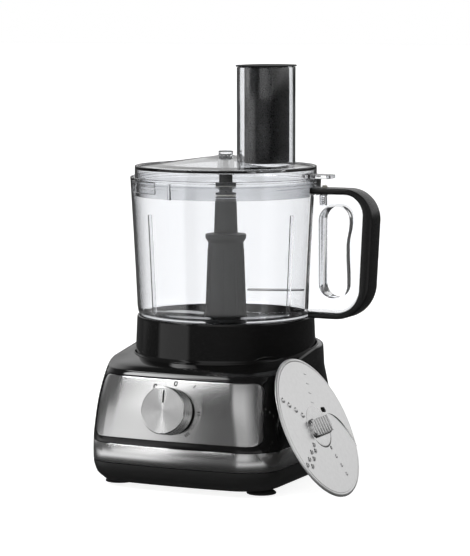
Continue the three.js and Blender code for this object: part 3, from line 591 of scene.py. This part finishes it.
def deck_columns():
    """For each point of the outline, the points from the chamfer up over the deck to the seat."""
    rings = []
    for p in outline(104):
        out = Vector((p.x, p.y, 0)).normalized()
        scale = DECK_R / hypot(p.x, p.y)
        inner = Vector((p.x * scale, p.y * scale, deck_top(p.y * scale)))
        edge = Vector((p.x, p.y, deck_edge(p.y)))
        shoulder = edge.lerp(inner, 0.3)
        shoulder.z = lerp(edge.z, inner.z, 0.45)
        start = edge - out * 1.3 + UP * 0.1
        points = [edge - out * away + UP * rise for away, rise in ((0.05, -1.3), (0.2, -0.8), (0.8, -0.15))]
        points += [start, *(start.lerp(shoulder, t) for t in (0.25, 0.5, 0.75)), shoulder]
        points += [shoulder.lerp(inner, t) + UP * (0.25 * sin(pi * t)) for t in (0.25, 0.5, 0.75)]
        rim = Vector((inner.x, inner.y, 0)).normalized()
        points += [inner + rim * away + UP * rise for away, rise in
                   ((0.7, 0), (0.45, 0.8), (-0.1, 1.0), (-0.5, 0.6), (-0.6, -3))]
        rings.append(points)
    return rings


def housing():
    """Black shell: body, a recess for the steel band, a window for the panel, and the deck."""
    body = [outline(z, inset) for z, inset in ((22.9, 1.6), (39.9, 1.6), (39.9, 0.4), (40.2, 0.05))]
    body += [outline(z) for z in (42.0, 48, 54, 60, 66, 72, 78, 84, 90, 95, 99.6)]
    count = len(body[0])
    rings = body + [list(ring) for ring in zip(*deck_columns())]
    verts, faces, uvs = skin(rings)
    # The window sits in a block of the front: these rows and columns, the columns reaching into the corners
    first, last, reach = 4, len(body) - 1, 8
    cols = [*range(4 * (CORNER_STEPS + 1) - 1 - reach, count), *range(reach + 1)]
    block = {(k, c) for k in range(first, last) for c in cols[:-1]}
    keep = [n for n in range(len(faces)) if (n // count, n % count) not in block]
    faces, uvs = [faces[n] for n in keep], [uvs[n] for n in keep]
    border = [(first, c) for c in cols[:-1]] + [(k, cols[-1]) for k in range(first, last)]
    border += [(last, c) for c in cols[:0:-1]] + [(k, cols[0]) for k in range(last, first, -1)]
    edge = [rings[k][c] for k, c in border]
    outer, inner = (window_loop(extra, len(cols) - 1, last - first) for extra in (0.3, 0.12))

    def on_body(loop, inset=0.0):
        return [Vector((x, front_y(x, z, inset), z)) for x, z in loop]
    patch = [edge]
    for t in (0.34, 0.67, 0.94):
        patch.append(on_body([(lerp(p.x, x, t), lerp(p.z, z, t)) for p, (x, z) in zip(edge, outer)]))
    patch += [on_body(outer), on_body(inner, 0.35), on_body(inner, 1.7)]
    sides = len(edge)
    back = (patch[-1], [tuple(range(sides))], [((0, 0),) * sides])
    shell = merge((verts, faces, uvs), skin(patch), back)
    piece("housing_shell", shell, BLACK_GLOSS, "base", "black_gloss", "housing", sharp=38)


def panel():
    """Brushed sheet that fills the window, following the bowed front."""
    low, high, r = PANEL["low"], PANEL["high"], PANEL["corner"]
    corner = [r * (1 - cos(radians(a))) for a in (0, 12, 26, 40, 55, 72, 90)]
    heights = [low + rise for rise in corner] + [lerp(low + r, high - r, i / 8) for i in range(1, 8)]
    heights += [high - drop for drop in reversed(corner)]
    rings = []
    for k, z in enumerate(heights):
        inside = max(0, low + r - z, z - (high - r))
        half = narrowed(PANEL["lower_half"] - r + sqrt(max(r * r - inside * inside, 0)), z)
        steps = 56
        xs = [lerp(-half, half, i / steps) for i in range(steps + 1)]
        lift = 0.25 if k in (0, len(heights) - 1) else 0.0
        front = [Vector((x, front_y(x, z, lift), z)) for x in xs]
        for end, inwards in ((0, 0.15), (-1, -0.15)):
            front[end] = Vector((xs[end] + inwards, front_y(xs[end], z, 0.3), z))
        back = [Vector((x, front_y(x, z, 1.2), z)) for x in reversed(xs)]
        rings.append(front + back)
    piece("panel_skin", skin(rings, caps=True), BRUSHED, "base", "brushed_steel", "front_panel", sharp=60)


def on_front(geometry, lift):
    """Lays a plate drawn in (x, z) on the bowed front panel."""
    verts, faces, uvs = geometry
    return [Vector((v.x, front_y(v.x, v.y) - lift - v.z, v.y)) for v in verts], faces, uvs


def dial_marks():
    """Generic ink marks round the knob: 0, a pulse arc, and one to three ticks."""
    def spot(angle, r):
        return r * sin(radians(angle)), KNOB_HEIGHT + r * cos(radians(angle))

    def printed(outlines, *matrices):
        return on_front(moved(slab(outlines, 0.1, 0.03, 1), *matrices), 0.05)

    def bar(angle, r, along, wide, offset=0.0):
        tick = rounded_box(-wide / 2, wide / 2, -along / 2, along / 2, wide * 0.45, 4)
        return printed([tick], turn(-angle), shift(*spot(angle + offset, r)))

    def ink(name, *parts):
        piece(name, merge(*parts), INK, "base", "black_plastic")

    x, z = spot(0, 23.6)
    ring = [[(x + 1.8 * cos(2 * pi * i / 28) * k, z + 2.3 * sin(2 * pi * i / 28) * m) for i in range(28)]
            for k, m in ((1, 1), (0.42, 0.56))]
    ink("mark_zero", printed([ring[0], ring[1][::-1]]))
    x, z = spot(-43.4, 28.1)
    ink("mark_pulse", printed([arc(x, z, 1.9, 0, 250, 14) + arc(x, z, 0.8, 250, 0, 14)]))
    ink("mark_speed_1", bar(39.5, 28.6, 3.2, 0.9))
    ink("mark_speed_2", bar(90, 25.4, 3.0, 0.9, 2.6), bar(90, 25.4, 3.0, 0.9, -2.6))
    ink("mark_speed_3", *[bar(141, 24, 3.0, 0.8, o) for o in (-4.4, 0, 4.4)])


def seat():
    """Black turret that the bowl stands in."""
    profile = [
        (8, 112), (11.5, 112), (11.5, 130.5), (77.6, 130.5), (77.6, 104), (80.3, 104), (80.6, 108),
        (81.7, 109.2, 0.3), (81.75, 110.6, 0.5), (80.95, 112.2, 0.8), (79.5, 143.2), (79.2, 144.6, 1.0),
        (78.4, 145, 0.5), (77.6, 144.8, 0.3), (77.6, 133), (8, 133)]
    lug = slab([rounded_box(-9, 9, -1.6, 1.6, 1.2, 4)], 5, 0.5, 2)
    lugs = [moved(lug, UPRIGHT, shift(0, 76.2, 139), turn(a)) for a in (60, 150, 240, 330)]
    piece("seat_collar", merge(lathe(profile, 160), *lugs), BLACK_GLOSS, "base", "black_gloss", "bowl_seat")


def feet():
    cup = lathe([
        (0, 2.4), (8.5, 1.3), (10.5, 0.15), (12.4, 0), (13, 0.45), (12.9, 1.2), (11.6, 2.3), (9.2, 3.6),
        (7, 4.5), (3.7, 4.5), (3.7, 7.5), (5, 7.5), (4.4, 9.8), (0, 9.8)], 48, closed=False, radius=0.35)
    for corner, (x, y) in FEET.items():
        foot = moved(cup, shift(x, y))
        piece(f"suction_{corner}", foot, RUBBER, "base", "rubber", f"foot_{corner}")


def grommet():
    profile = [(3.8, 84), (8.6, 84), (8.6, 86), (6.5, 86.6), (6.5, 92.3), (9, 92.3), (8.6, 93.8), (7.6, 94.5),
               (4.6, 94.5), (3.8, 93.6)]
    made = moved(lathe(profile, 48), turn(-90, "X"), shift(0, 0, 54))
    piece("grommet_ring", made, RUBBER, "base", "rubber", "cord_grommet")


def back_vents():
    """Louvres in the back of the housing, either side of the cord grommet: matt black strips, painted shade
    for the vent slots.
    """
    w, _, b, _, rb = level(59)
    for side, name in ((-1, "left"), (1, "right")):
        bars = []
        for i in range(7):
            x = side * (16 + i * 3.6)
            over = max(abs(x) - (w - rb), 0)
            y = b - rb + sqrt(rb * rb - over ** 2)
            lean = degrees(asin(over / rb))
            bar = slab([rounded_box(-0.9, 0.9, 46, 72, 0.85, 4)], 1.0, 0.3, 2)
            bars.append(moved(bar, UPRIGHT, turn(-lean * side), shift(x, y + 0.1)))
        piece(f"rear_louvre_{name}", merge(*bars), SHADOW_GAP, "base", "black_plastic")


# ---- knob ------------------------------------------------------------------------------------
def knob():
    stands = shift(0, -KNOB_FRONT, KNOB_HEIGHT) @ turn(90 - KNOB_TILT, "X")
    core = lathe([
        (0, -14), (3, -14), (3, 0.8), (20, 0.8), (20.3, 1.4), (19.8, 2.4), (19.0, 2.6), (19.0, 17.4),
        (0, 17.4)], 96, closed=False)
    # Matt black core: its ring below the cap is painted shade for the shadow gap at the knob's base.
    piece("knob_body", core, SHADOW_GAP, "knob", "black_plastic", "knob_core", stands=stands)
    r, d = KNOB_R, KNOB_DEPTH
    face = [(r - 1.2 - step, d, 0) for step in (3, 6, 9, 12, 15, 17)]
    cap = [
        (19.2, 2.6), (r - 0.2, 2.6, 0.3), (r - 0.2, 3.8, 0.4), (r, d - 1.1, 0.3), (r - 0.35, d - 0.3, 0.2),
        (r - 0.9, d, 0.1), (r - 1.2, d, 0), *face, (1.2, d, 0), (0.3, d, 0), (0.3, 17.8, 0), (19.2, 17.8)]
    piece("knob_cap", lathe(cap, 128), SPUN, "knob", "brushed_steel", "knob_face", stands=stands, sharp=28)
    line = moved(slab([rounded_box(-0.85, 0.85, 6.6, 17.4, 0.8, 5)], 0.5, 0.12, 2), shift(z=d - 0.1))
    piece("knob_pointer", line, INK, "knob", "black_plastic", stands=stands)


# ---- bowl and handle -------------------------------------------------------------------------
def bowl_radius(z):
    return lerp(BOWL_FOOT_R, BOWL_RIM_R, max(0, (z - WALL_FOOT) / (BOWL_RIM - WALL_FOOT)) ** 1.1)


def bowl():
    def inner(z):
        return bowl_radius(z) - BOWL_WALL
    rim, heights = BOWL_RIM, (165, 190, 215, 240)
    walls = [(bowl_radius(z), z, 0) for z in heights]
    lining = [(inner(z), z, 0) for z in reversed(heights)]
    body = lathe([
        (11.2, 133.3), (74, 133.3, 1.5), (76.2, 135.7, 1.5), (76.9, 145.2, 0.5), (78.5, 148, 1.5),
        (bowl_radius(WALL_FOOT), WALL_FOOT, 1.5), *walls, (bowl_radius(rim), rim, 0.8),
        (inner(rim) + 0.4, rim, 0.4), (inner(rim) + 0.4, LEDGE, 0.2), (inner(LEDGE) - 0.4, LEDGE, 0.2),
        (inner(LEDGE) - 0.4, 260, 0.4), (inner(250), 250, 1), *lining, (inner(WALL_FOOT), WALL_FOOT, 2),
        (74.4, 145.2, 2), (73, 137.2, 1.5), (71, 136, 1.2), (13.3, 136, 0.8), (13, 200, 0.4),
        (11.2, 200, 0.4)], 144)

    def rib(angle):
        section = ((0, -1), (3.6, -0.9), (3.9, 0), (3.6, 0.9), (0, 1))
        bar = [[(x, y, z) for x, y in section] for z in (150, 152, 236, 238)]
        return moved(skin(bar, caps=True), turn(3, "Y"), shift(inner(150) - 11), turn(angle))

    def lug(start, end, low, high):
        """A raised pad on the outside of the rim, between two azimuths from the front."""
        rings, steps, root = [], 12, 83.6
        for i in range(steps + 1):
            out = bowl_radius(high) + (0.9 if 0 < i < steps else 0.3)
            section = ((root, low), (out - 0.3, low), (out, low + 0.5), (out, high - 0.5), (out - 0.3, high),
                       (root, high))
            rings.append([(*polar(r, lerp(start, end, i / steps) - 90), z) for r, z in section])
        return skin(rings, caps=True)
    details = rib(240), rib(341), lug(-50, -21, 256, 266.5), lug(-11, -9, 252, 266)
    solid = carve(body, *details, operation="UNION")
    piece("bowl_clear", solid, CLEAR, "bowl_set", "clear_plastic", "bowl", sharp=25)


def plunger_bore(r, low, high):
    bore = lathe([(0, low), (r, low), (r, high), (0, high)], 32, closed=False, radius=0)
    return moved(bore, shift(PLUNGER_X))


def handle():
    out = HANDLE["outer"] - HANDLE["skin"] - 0.3
    low, high = HANDLE["low"] + 5.3, HANDLE["high"] - 5.3
    corner, top_corner = HANDLE["corner"] - HANDLE["skin"], HANDLE["top_corner"] - HANDLE["skin"]
    frame_outline = [(bowl_radius(low) + 0.3, low)]
    frame_outline += arc(out - corner - 3, low + corner, corner, -90, 0, 14)
    frame_outline += arc(out - top_corner, high - top_corner, top_corner, 0, 90, 14)
    frame_outline += [(bowl_radius(z) + 0.3, z) for z in (high, 230, 205, 180)]
    left, right, bottom, top = (FINGER_GAP[side] for side in ("left", "right", "low", "high"))
    gap = arc(left + 12, bottom + 12, 12, 180, 270, 8) + arc(right - 15, bottom + 12, 12, -90, 0, 8)
    for i in range(11):
        t = i / 10
        wave = 2.8 * smooth((t - 0.6) / 0.4) - 0.8 * smooth(t / 0.4)
        gap.append((right - 3 + wave, lerp(bottom + 18, top - 14, t)))
    gap += arc(right - 12, top - 11, 11, 8, 90, 7) + arc(left + 12, top - 12, 12, 90, 180, 8)
    body = moved(slab([frame_outline, gap[::-1]], HANDLE["clear"], 2.2, 4), UPRIGHT)
    solid = carve(body, plunger_bore(3.4, 246, 262))
    piece("handle_clear", solid, CLEAR, "bowl_set", "clear_plastic", "bowl_handle", sharp=28)


def grip():
    outer, skin_depth, corner, top_corner = (HANDLE[k] for k in ("outer", "skin", "corner", "top_corner"))
    low, high, inside = HANDLE["low"], HANDLE["high"], outer - skin_depth
    inner, inner_top = corner - skin_depth, top_corner - skin_depth
    start, bar_start = bowl_radius(high) + 0.6, bowl_radius(low) + 5
    shape = [(start, high), (start, high - 5)]
    shape += arc(inside - inner_top, high - 5 - inner_top, inner_top, 90, 0, 16)
    shape += arc(inside - inner - 3, low + 5 + inner, inner, 0, -90, 16)
    shape += [(bar_start, low + 5), (bar_start, low)]
    shape += arc(outer - corner - 3, low + corner, corner, -90, 0, 20)
    shape += arc(outer - top_corner, high - top_corner, top_corner, 0, 90, 20)
    body = moved(slab([shape], HANDLE["grip"], 2.0, 4), UPRIGHT)
    solid = carve(body, plunger_bore(2.7, 252, 263))
    piece("grip_shell", solid, GRIP_BLACK, "bowl_set", "black_plastic", "handle_grip", sharp=35)


def interlock_spring():
    """Coil under the plunger, drawn at rest with a mesh of its own; the real spring shortens as the plunger
    is pressed.
    """
    low, high = millimetres("interlock_spring")
    wire, turns, steps, sides, stroke = 0.35, 4, 28, 10, 3
    middle, length = (low + high) / 2, high.z - low.z
    reach = (high.x - low.x) / 2 - wire
    rings = []
    for i in range(turns * steps + 1):
        out = Vector((*polar(1, 360 * i / steps), 0))
        height = lerp(low.z + wire, high.z - wire, i / (turns * steps))
        centre = Vector((middle.x, middle.y, height)) + out * reach
        section = [polar(wire, 360 * k / sides) for k in range(sides)]
        rings.append([centre + out * across + UP * rise for across, rise in section])
    coil = skin(rings, caps=True)
    coil = piece("spring_coil", coil, POLISHED, "bowl_set", "polished_steel", "interlock_spring", sharp=60)
    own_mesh(coil)


# ---- blade set -------------------------------------------------------------------------------
def bezier(a, b, c, d, t):
    s = 1 - t
    return Vector([s ** 3 * p + 3 * s * s * t * q + 3 * s * t * t * r + t ** 3 * e
                   for p, q, r, e in zip(a, b, c, d)])


def blade_set():
    hub = [
        (14.6, 138.6), (19.2, 138.6), (19.2, 141.6), (18.4, 142.6), (15.8, 209.5), (18.2, 213.3, 0.5),
        (18.3, 216.9, 0.6), (10.6, 218, 0.8), (9.3, 254.6), (0, 254.6), (0, 213), (8.5, 213), (8.5, 201),
        (14.6, 200)]
    flute = slab([rounded_box(-1.1, 1.1, -29, 29, 1.0, 4)], 1.6, 0.5, 2)
    lean, out = turn(-2.2, "X"), shift(0, -16.75, 175)
    flutes = [moved(flute, UPRIGHT, lean, out, turn(a)) for a in range(15, 360, 45)]
    stem = merge(lathe(hub, 72, closed=False), *flutes)
    piece("stem", stem, HUB_GREY, "blade_set", "hub_plastic", "blade_hub")
    pin = lathe([
        (0, 254.9), (9.2, 254.9), (9.2, 256.2), (7.4, 256.2), (7.4, 257.8), (9.2, 257.8), (9.2, 259.4),
        (6, 260.2), (6, 270), (2.9, 271), (2.4, 282), (0, 282.6)], 48, closed=False, radius=0.3)
    piece("stem_pin", pin, BLACK_GLOSS, "blade_set", "hub_plastic", "hub_pin")
    washer = lathe([(7.6, 256.4), (9, 256.4), (9, 257.6), (7.6, 257.6)], 48, radius=0.2)
    piece("stem_washer", washer, NYLON, "blade_set", "nylon")

    def blade(name, angle, height, node):
        rings, steps = [], 24
        for i in range(steps + 1):
            lead = bezier((19.8, -7), (34, -20), (56, -20), (68, 2), i / steps)
            trail = bezier((19.8, 8), (38, 0), (54, 0), (70, 8), i / steps)
            if i % 2 and 4 < i < steps - 2:
                lead = lead.lerp(trail, 0.035)  # notches of the serrated edge
            across = [(0.0, 0.08), (0.16, 0.5), (0.34, 0.9), (0.97, 0.9), (1.0, 0.7)]
            upper = [(*lead.lerp(trail, s), h) for s, h in across]
            rings.append(upper + [(x, y, -h) for x, y, h in reversed(upper)])
        made = moved(skin(rings, caps=True), turn(-5, "X"), shift(z=height), turn(angle))
        piece(name, made, BLADE_STEEL, "blade_set", "polished_steel", node, sharp=20)
    blade("blade_low", 200, 144, "blade_lower")
    blade("blade_high", 20, 167, "blade_upper")


def coupler():
    neck = lathe([(4.8, 140), (9.6, 140), (9.6, 199), (4.8, 199)], 48)
    hexagon = [polar(8.6, a) for a in range(0, 360, 60)]
    dog = moved(slab([hexagon], 13.4, 0.6, 3), shift(z=205.3))
    piece("drive_dog", merge(neck, dog), NYLON, "drive_spindle", "nylon", "drive_coupler")


# ---- lid and pusher --------------------------------------------------------------------------
def lid():
    def cone(r):
        return lerp(LID_APEX, LID_RIM - 1.4, r / (LID_R - 2))
    reaches = (20, 32, 44, 56, 68)
    top = [(r, cone(r), 0) for r in reaches]
    under = [(r, cone(r) - LID_SHEET, 0) for r in reversed(reaches)]
    body = lathe([
        (0, cone(0) + 2.4), (5.2, cone(5) + 2.6, 0.4), (5.7, cone(6) + 4.2, 0.4), (6.5, cone(6) + 4.0, 0.3),
        (6.4, cone(6) + 0.5, 0.4), (10, cone(10), 2), *top, (LID_R - 2, cone(LID_R - 2), 1),
        (LID_R - 0.7, LID_RIM), (LID_R, LID_RIM - 0.7), (LID_R, 266.4, 0.3), (82, 266.4, 0.3),
        (82, LEDGE + 0.3, 0.3), (LID_R - 0.8, LEDGE + 0.3, 0.3), (LID_R - 1.2, 252, 0.5),
        (LID_R - 3, 252, 0.5), (LID_R - 1.9, LID_RIM - 2.9, 0.8), *under, (10, cone(10) - LID_SHEET, 1.5),
        (7.4, 282.4, 0.8), (7.4, 271, 0.3), (6.4, 271, 0.2), (3.6, 273.5, 0.3), (3.4, 284.4, 0.3),
        (0, 285.2)], 144, closed=False)
    hx, hy, x, top_z = (TUBE[k] for k in ("hx", "hy", "x", "top"))

    def tube(grow, *heights):
        return skin([oval_ring(hx + g + grow, hy + g + grow, z, x) for z, g in heights], caps=True)
    outside = tube(0, (277, 0), (300, 0), (330, 0), (top_z - 0.8, 0), (top_z - 0.25, -0.2), (top_z, -0.7))
    inside = tube(
        -TUBE["wall"], (268, 0), (300, 0), (330, 0), (top_z - 0.8, 0), (top_z - 0.2, 0.3), (top_z + 2, 1.6))
    tab = moved(slab([rounded_box(76, 103, -9, 9, 2.5, 5)], 3.5, 0.6, 3), shift(z=270.75))
    solid = carve(carve(body, outside, tab, operation="UNION"), inside)
    piece("lid_clear", solid, CLEAR, "lid_unit", "clear_plastic", "lid", sharp=25)


def pusher():
    def stack(hx, hy, heights, power=3.4):
        return skin([oval_ring(hx + grow, hy + grow, z, TUBE["x"], power) for z, grow in heights], caps=True)
    low, joint, top = PUSHER["low"], PUSHER["cap"], PUSHER["top"]
    high = joint - 0.3
    cup = stack(PUSHER["hx"], PUSHER["hy"], [
        (low, -1.2), (low + 0.3, -0.5), (low + 1.2, 0), (320, 0), (high, 0), (high, -2), (320, -2),
        (low + 2, -2)], 2.7)
    piece("pusher_cup", cup, PUSHER_BLACK, "pusher", "black_plastic", "pusher_body", sharp=35)
    plate = stack(TUBE["hx"] + 1, TUBE["hy"] + 1, [
        (joint, -0.4), (joint + 0.3, -0.1), (joint + 0.8, 0), (top - 0.4, -0.1), (top - 0.1, -0.5),
        (top, -1.2), (top, -3.4), (top - 0.2, -3.9), (top - 0.6, -4.4), (top - 0.7, -6)])
    piece("pusher_plate", plate, BLACK_SATIN, "pusher", "black_plastic", "pusher_cap", sharp=40)


# ---- grating disc ----------------------------------------------------------------------------
def disc():
    """Loose grating disc, drawn lying flat; its short row ends in three low domes."""
    stands = shift(*DISC_AT) @ turn(90 - DISC_LEAN, "Y")
    short_row = 17
    rows = [(234, (25, 35.5, 45.5, 55), 1.7), (297, (27, 38, 49, 57.5), 1.5), (303.5, (31.5, 42, 52), 1.5),
            (short_row, (21.6,), 1.7)]
    spots = [(*polar(r, a), a, size) for a, reaches, size in rows for r in reaches]
    holes = [circle(x, y, size, 20)[::-1] for x, y, _, size in spots]
    dome = lathe([(0, 0.9), (1.9, 0.9), (1.5, 1.5), (0.8, 1.9), (0, 2.0)], 24, closed=False, radius=0.2)
    domes = [moved(dome, shift(*polar(r, short_row))) for r in (30.4, 39.6, 48.5)]

    def slot(x, y, along, wide, angle):
        c, s = polar(1, angle)
        flat = rounded_box(-along / 2, along / 2, -wide / 2, wide / 2, wide * 0.48, 5)
        return [(x + px * c - py * s, y + px * s + py * c) for px, py in flat]
    holes.append(slot(-12.5, 22.5, 9, 4.6, 82)[::-1])
    sheet = moved(slab([circle(0, 0, DISC_R - 3.4, 144), *holes], 1.0, 0.18, 2), shift(z=0.5))
    rolled = [
        (3.7, 0.05), (2.7, 0), (1.6, -0.9), (0.4, -1.0), (0, -0.5), (0.4, 0.3), (1.4, 0.9), (2.4, 1.1),
        (3.7, 0.55)]
    rim = lathe([(DISC_R - inward, z) for inward, z in rolled], 160, radius=0.3)

    def tooth(x, y, angle, size):
        """Half a flattened dome beside a hole, open towards it."""
        rings = []
        for k in range(5):
            reach, rise = polar(size, 90 * k / 4)
            arch = [polar(1.75 * reach, b) for b in range(-90, 91, 15)]
            rings.append([(px * 0.8, py, 0.85 * rise) for px, py in arch])
        dx, dy = polar(0.9, angle + 90)
        return moved(skin(rings, caps=True), turn(angle + 90), shift(x + dx, y + dy, 0.9))
    teeth = [tooth(*spot) for spot in spots[:-1]]
    dash = slab([rounded_box(-2.0, 2.0, -0.55, 0.55, 0.5, 4)], 0.5, 0.2, 2)
    dashes = [moved(dash, turn(250), shift(*polar(r, 160), 1.05)) for r in (14.5, 23, 32, 41, 50)]
    face = merge(sheet, rim, *teeth, *domes, *dashes)
    piece("disc_sheet", face, DISC_STEEL, "grating_disc", "polished_steel", "disc_plate",
          stands=stands, sharp=30, flat=True)
    boss = lathe([(0, 0.9), (19.5, 0.9), (18.6, 1.3), (17.4, 1.5), (0, 1.5)], 96, closed=False)
    mount = moved(slab([rounded_box(-8.6, 8.6, -19, 19, 8.4, 10)], 4.0, 1.2, 4), shift(z=2.8))
    ridge = slab([rounded_box(-7.4, 7.4, -1.0, 1.0, 0.9, 4)], 2.4, 0.8, 3)
    ridges = [moved(ridge, shift(0, y, 4.6)) for y in range(-15, 16, 5)]
    socket = lathe([(7.6, -8), (12, -8), (12.6, 0.9), (7.6, 0.9)], 72)
    hub = merge(boss, mount, *ridges, socket)
    piece("disc_boss", hub, POLISHED, "grating_disc", "polished_steel", "disc_hub", stands=stands, flat=True)
    blade = []
    for i in range(21):
        t = i / 20
        angle = lerp(108, 66, t)
        base, out = Vector((*polar(lerp(27, 59, t ** 0.9), angle), 0.9)), Vector((*polar(1, angle - 25), 0))
        profile = ((0.5, 0.5), (1.4, 0.85), (3.2, 0.55), (6.0, 0))
        blade.append([base, *(base + out * d + UP * (h * sin(pi * t) ** 0.5 + 0.05) for d, h in profile)])
    edge = skin(blade, caps=True)
    piece("disc_edge", edge, POLISHED, "grating_disc", "polished_steel", "disc_blade",
          stands=stands, sharp=45)


# ---- carried-over CAD nodes, floor, light and camera -------------------------------------------
def finish_nodes():
    """Gives this script's materials to the nodes that keep their CAD shape."""
    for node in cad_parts.values():
        for place in node.material_slots:
            base = (place.material.name if place.material else "").split(".")[0]
            place.material = NODE_MATERIALS.get(base, MOTOR_STEEL)


def floor():
    """A pale floor. Reflections look through it, so that black pieces stay black."""
    mesh = bpy.data.meshes.new("floor")
    corners = [(x * FLOOR_HALF, y * FLOOR_HALF, 0) for x, y in ((-1, -1), (1, -1), (1, 1), (-1, 1))]
    mesh.from_pydata(corners, [], [(0, 1, 2, 3)])
    floor_object = add_object("floor", mesh)
    pale = material("floor", 0.5, 0.9, Specular_IOR_Level=0.1, Emission_Color=1, Emission_Strength=FLOOR_GLOW)
    tree = Tree(pale)
    reflected = tree.math("GREATER_THAN", tree.add("LightPath").outputs["Glossy Depth"], 0.5)
    passing = tree.add("MixShader")
    clear = tree.add("BsdfTransparent")
    for socket, value in zip(passing.inputs, (reflected, tree.shader.outputs[0], clear.outputs[0])):
        tree.feed(socket, value)
    tree.fill(tree.nodes["Material Output"], Surface=passing.outputs[0])
    mesh.materials.append(pale)


def room():
    """Softboxes round the machine, as brightness by direction; the background itself is white."""
    world = bpy.data.worlds.new("studio")
    bpy.context.scene.world = world
    world.use_nodes = True
    tree = Tree(world)
    tree.nodes.clear()
    math, mix = tree.math, tree.mix
    x, y, z = tree.add("SeparateXYZ", Vector=tree.add("TexCoord").outputs["Generated"]).outputs
    # Azimuth is 0 in front and grows to the right
    azimuth = math("MULTIPLY", math("ARCTAN2", x, math("MULTIPLY", y, -1)), 180 / pi)
    turned = math("DIVIDE", math("ADD", azimuth, 180), 360)
    high = math("DIVIDE", math("MULTIPLY", math("ARCSINE", z), 180 / pi), 90)  # 1 overhead
    below = math("MULTIPLY", high, -1)

    def round_about(*stops):
        """Brightness by azimuth in degrees."""
        return tree.ramp(turned, [((angle + 180) / 360, bright) for angle, bright in stops])
    walls = round_about(
        (-180, 0.8), (-125, 0.8), (-100, 0.15), (-60, 0.15), (-40, 0.3), (-33, 1.5), (-28.5, 1.7),
        (-26.5, 0.06), (-15, 0.06), (-8, 0.75), (22, 0.75), (55, 0.1), (70, 0.1), (84, 0.85), (180, 0.8))
    low = round_about(
        (-180, 0.08), (-72, 0.08), (-66, 0.85), (-25, 0.9), (-21, 0.15), (20, 0.15), (50, 0.1), (70, 0.03),
        (180, 0.08))
    under = round_about(
        (-180, 0.05), (-110, 0.1), (-78, 1.25), (-32, 1.35), (-29, 1.2), (-26, 0.1), (-15, 0.08), (-5, 0.95),
        (72, 0.85), (100, 0.05), (180, 0.05))
    key_box = round_about((-74, 0), (-67, 0.9), (-50, 1), (-40, 0.5), (-30, 0.35), (-27, 0))
    under_eye = tree.ramp(below, [(0.04, 0), (0.055, 1)])
    near_floor = tree.ramp(below, [(0.18, 0), (0.26, 1)])
    up = tree.ramp(high, [(0.02, 0), (0.1, 1)], "EASE")
    top = tree.ramp(high, [(0.35, 0), (0.62, 1)], "EASE")
    key = math("MULTIPLY", key_box, tree.ramp(high, [(0.48, 0), (0.51, 1), (0.58, 1), (0.61, 0)]))
    path = tree.add("LightPath").outputs
    inside = math("MULTIPLY", math("GREATER_THAN", path["Transmission Depth"], 0.5), 0.15)
    level_room = mix(near_floor, mix(under_eye, mix(up, low, walls), under), math("ADD", inside, 0.02))
    reflected = mix(key, mix(top, level_room, math("ADD", inside, 0.1)), KEY_RADIANCE)
    bounced = math("ADD", path["Glossy Depth"], path["Diffuse Depth"])
    background = tree.add("Background", Color=mix(math("LESS_THAN", bounced, 0.5), reflected, 1.0))
    tree.add("OutputWorld", Surface=background.outputs[0])


def overhead():
    strip = bpy.data.lights.new("overhead", "AREA")
    strip.shape, (strip.size, strip.size_y) = "RECTANGLE", LAMP_SIZE
    strip.energy = LAMP_WATTS
    lamp = add_object("overhead", strip)
    lamp.location = LAMP_AT
    lamp.rotation_euler = (Vector(LAMP_AIM) - lamp.location).to_track_quat("-Z", "Y").to_euler()
    lamp.visible_glossy = False


def camera():
    a = radians(CAMERA["azimuth"])
    centre = AXIS + Vector((cos(a), sin(a), 0)) * CAMERA["across"] / 1000
    away = Vector((sin(a), -cos(a), 0)) * CAMERA["distance"] / 1000
    data = bpy.data.cameras.new("camera")
    data.lens, data.sensor_width = CAMERA["lens"], 36
    data.clip_start, data.clip_end = 0.05, 100
    eye = add_object("camera", data)
    eye.location = centre + away + UP * (CAMERA["height"] / 1000)
    target = centre + UP * (CAMERA["aim"] / 1000)
    eye.rotation_euler = (target - eye.location).to_track_quat("-Z", "Y").to_euler()
    bpy.context.scene.camera = eye
    bpy.context.scene.view_settings.view_transform = "Standard"


tray()
steel_band()
housing()
panel()
dial_marks()
seat()
feet()
grommet()
back_vents()
knob()
coupler()
bowl()
handle()
grip()
interlock_spring()
blade_set()
lid()
pusher()
disc()
finish_nodes()
floor()
room()
overhead()
camera()
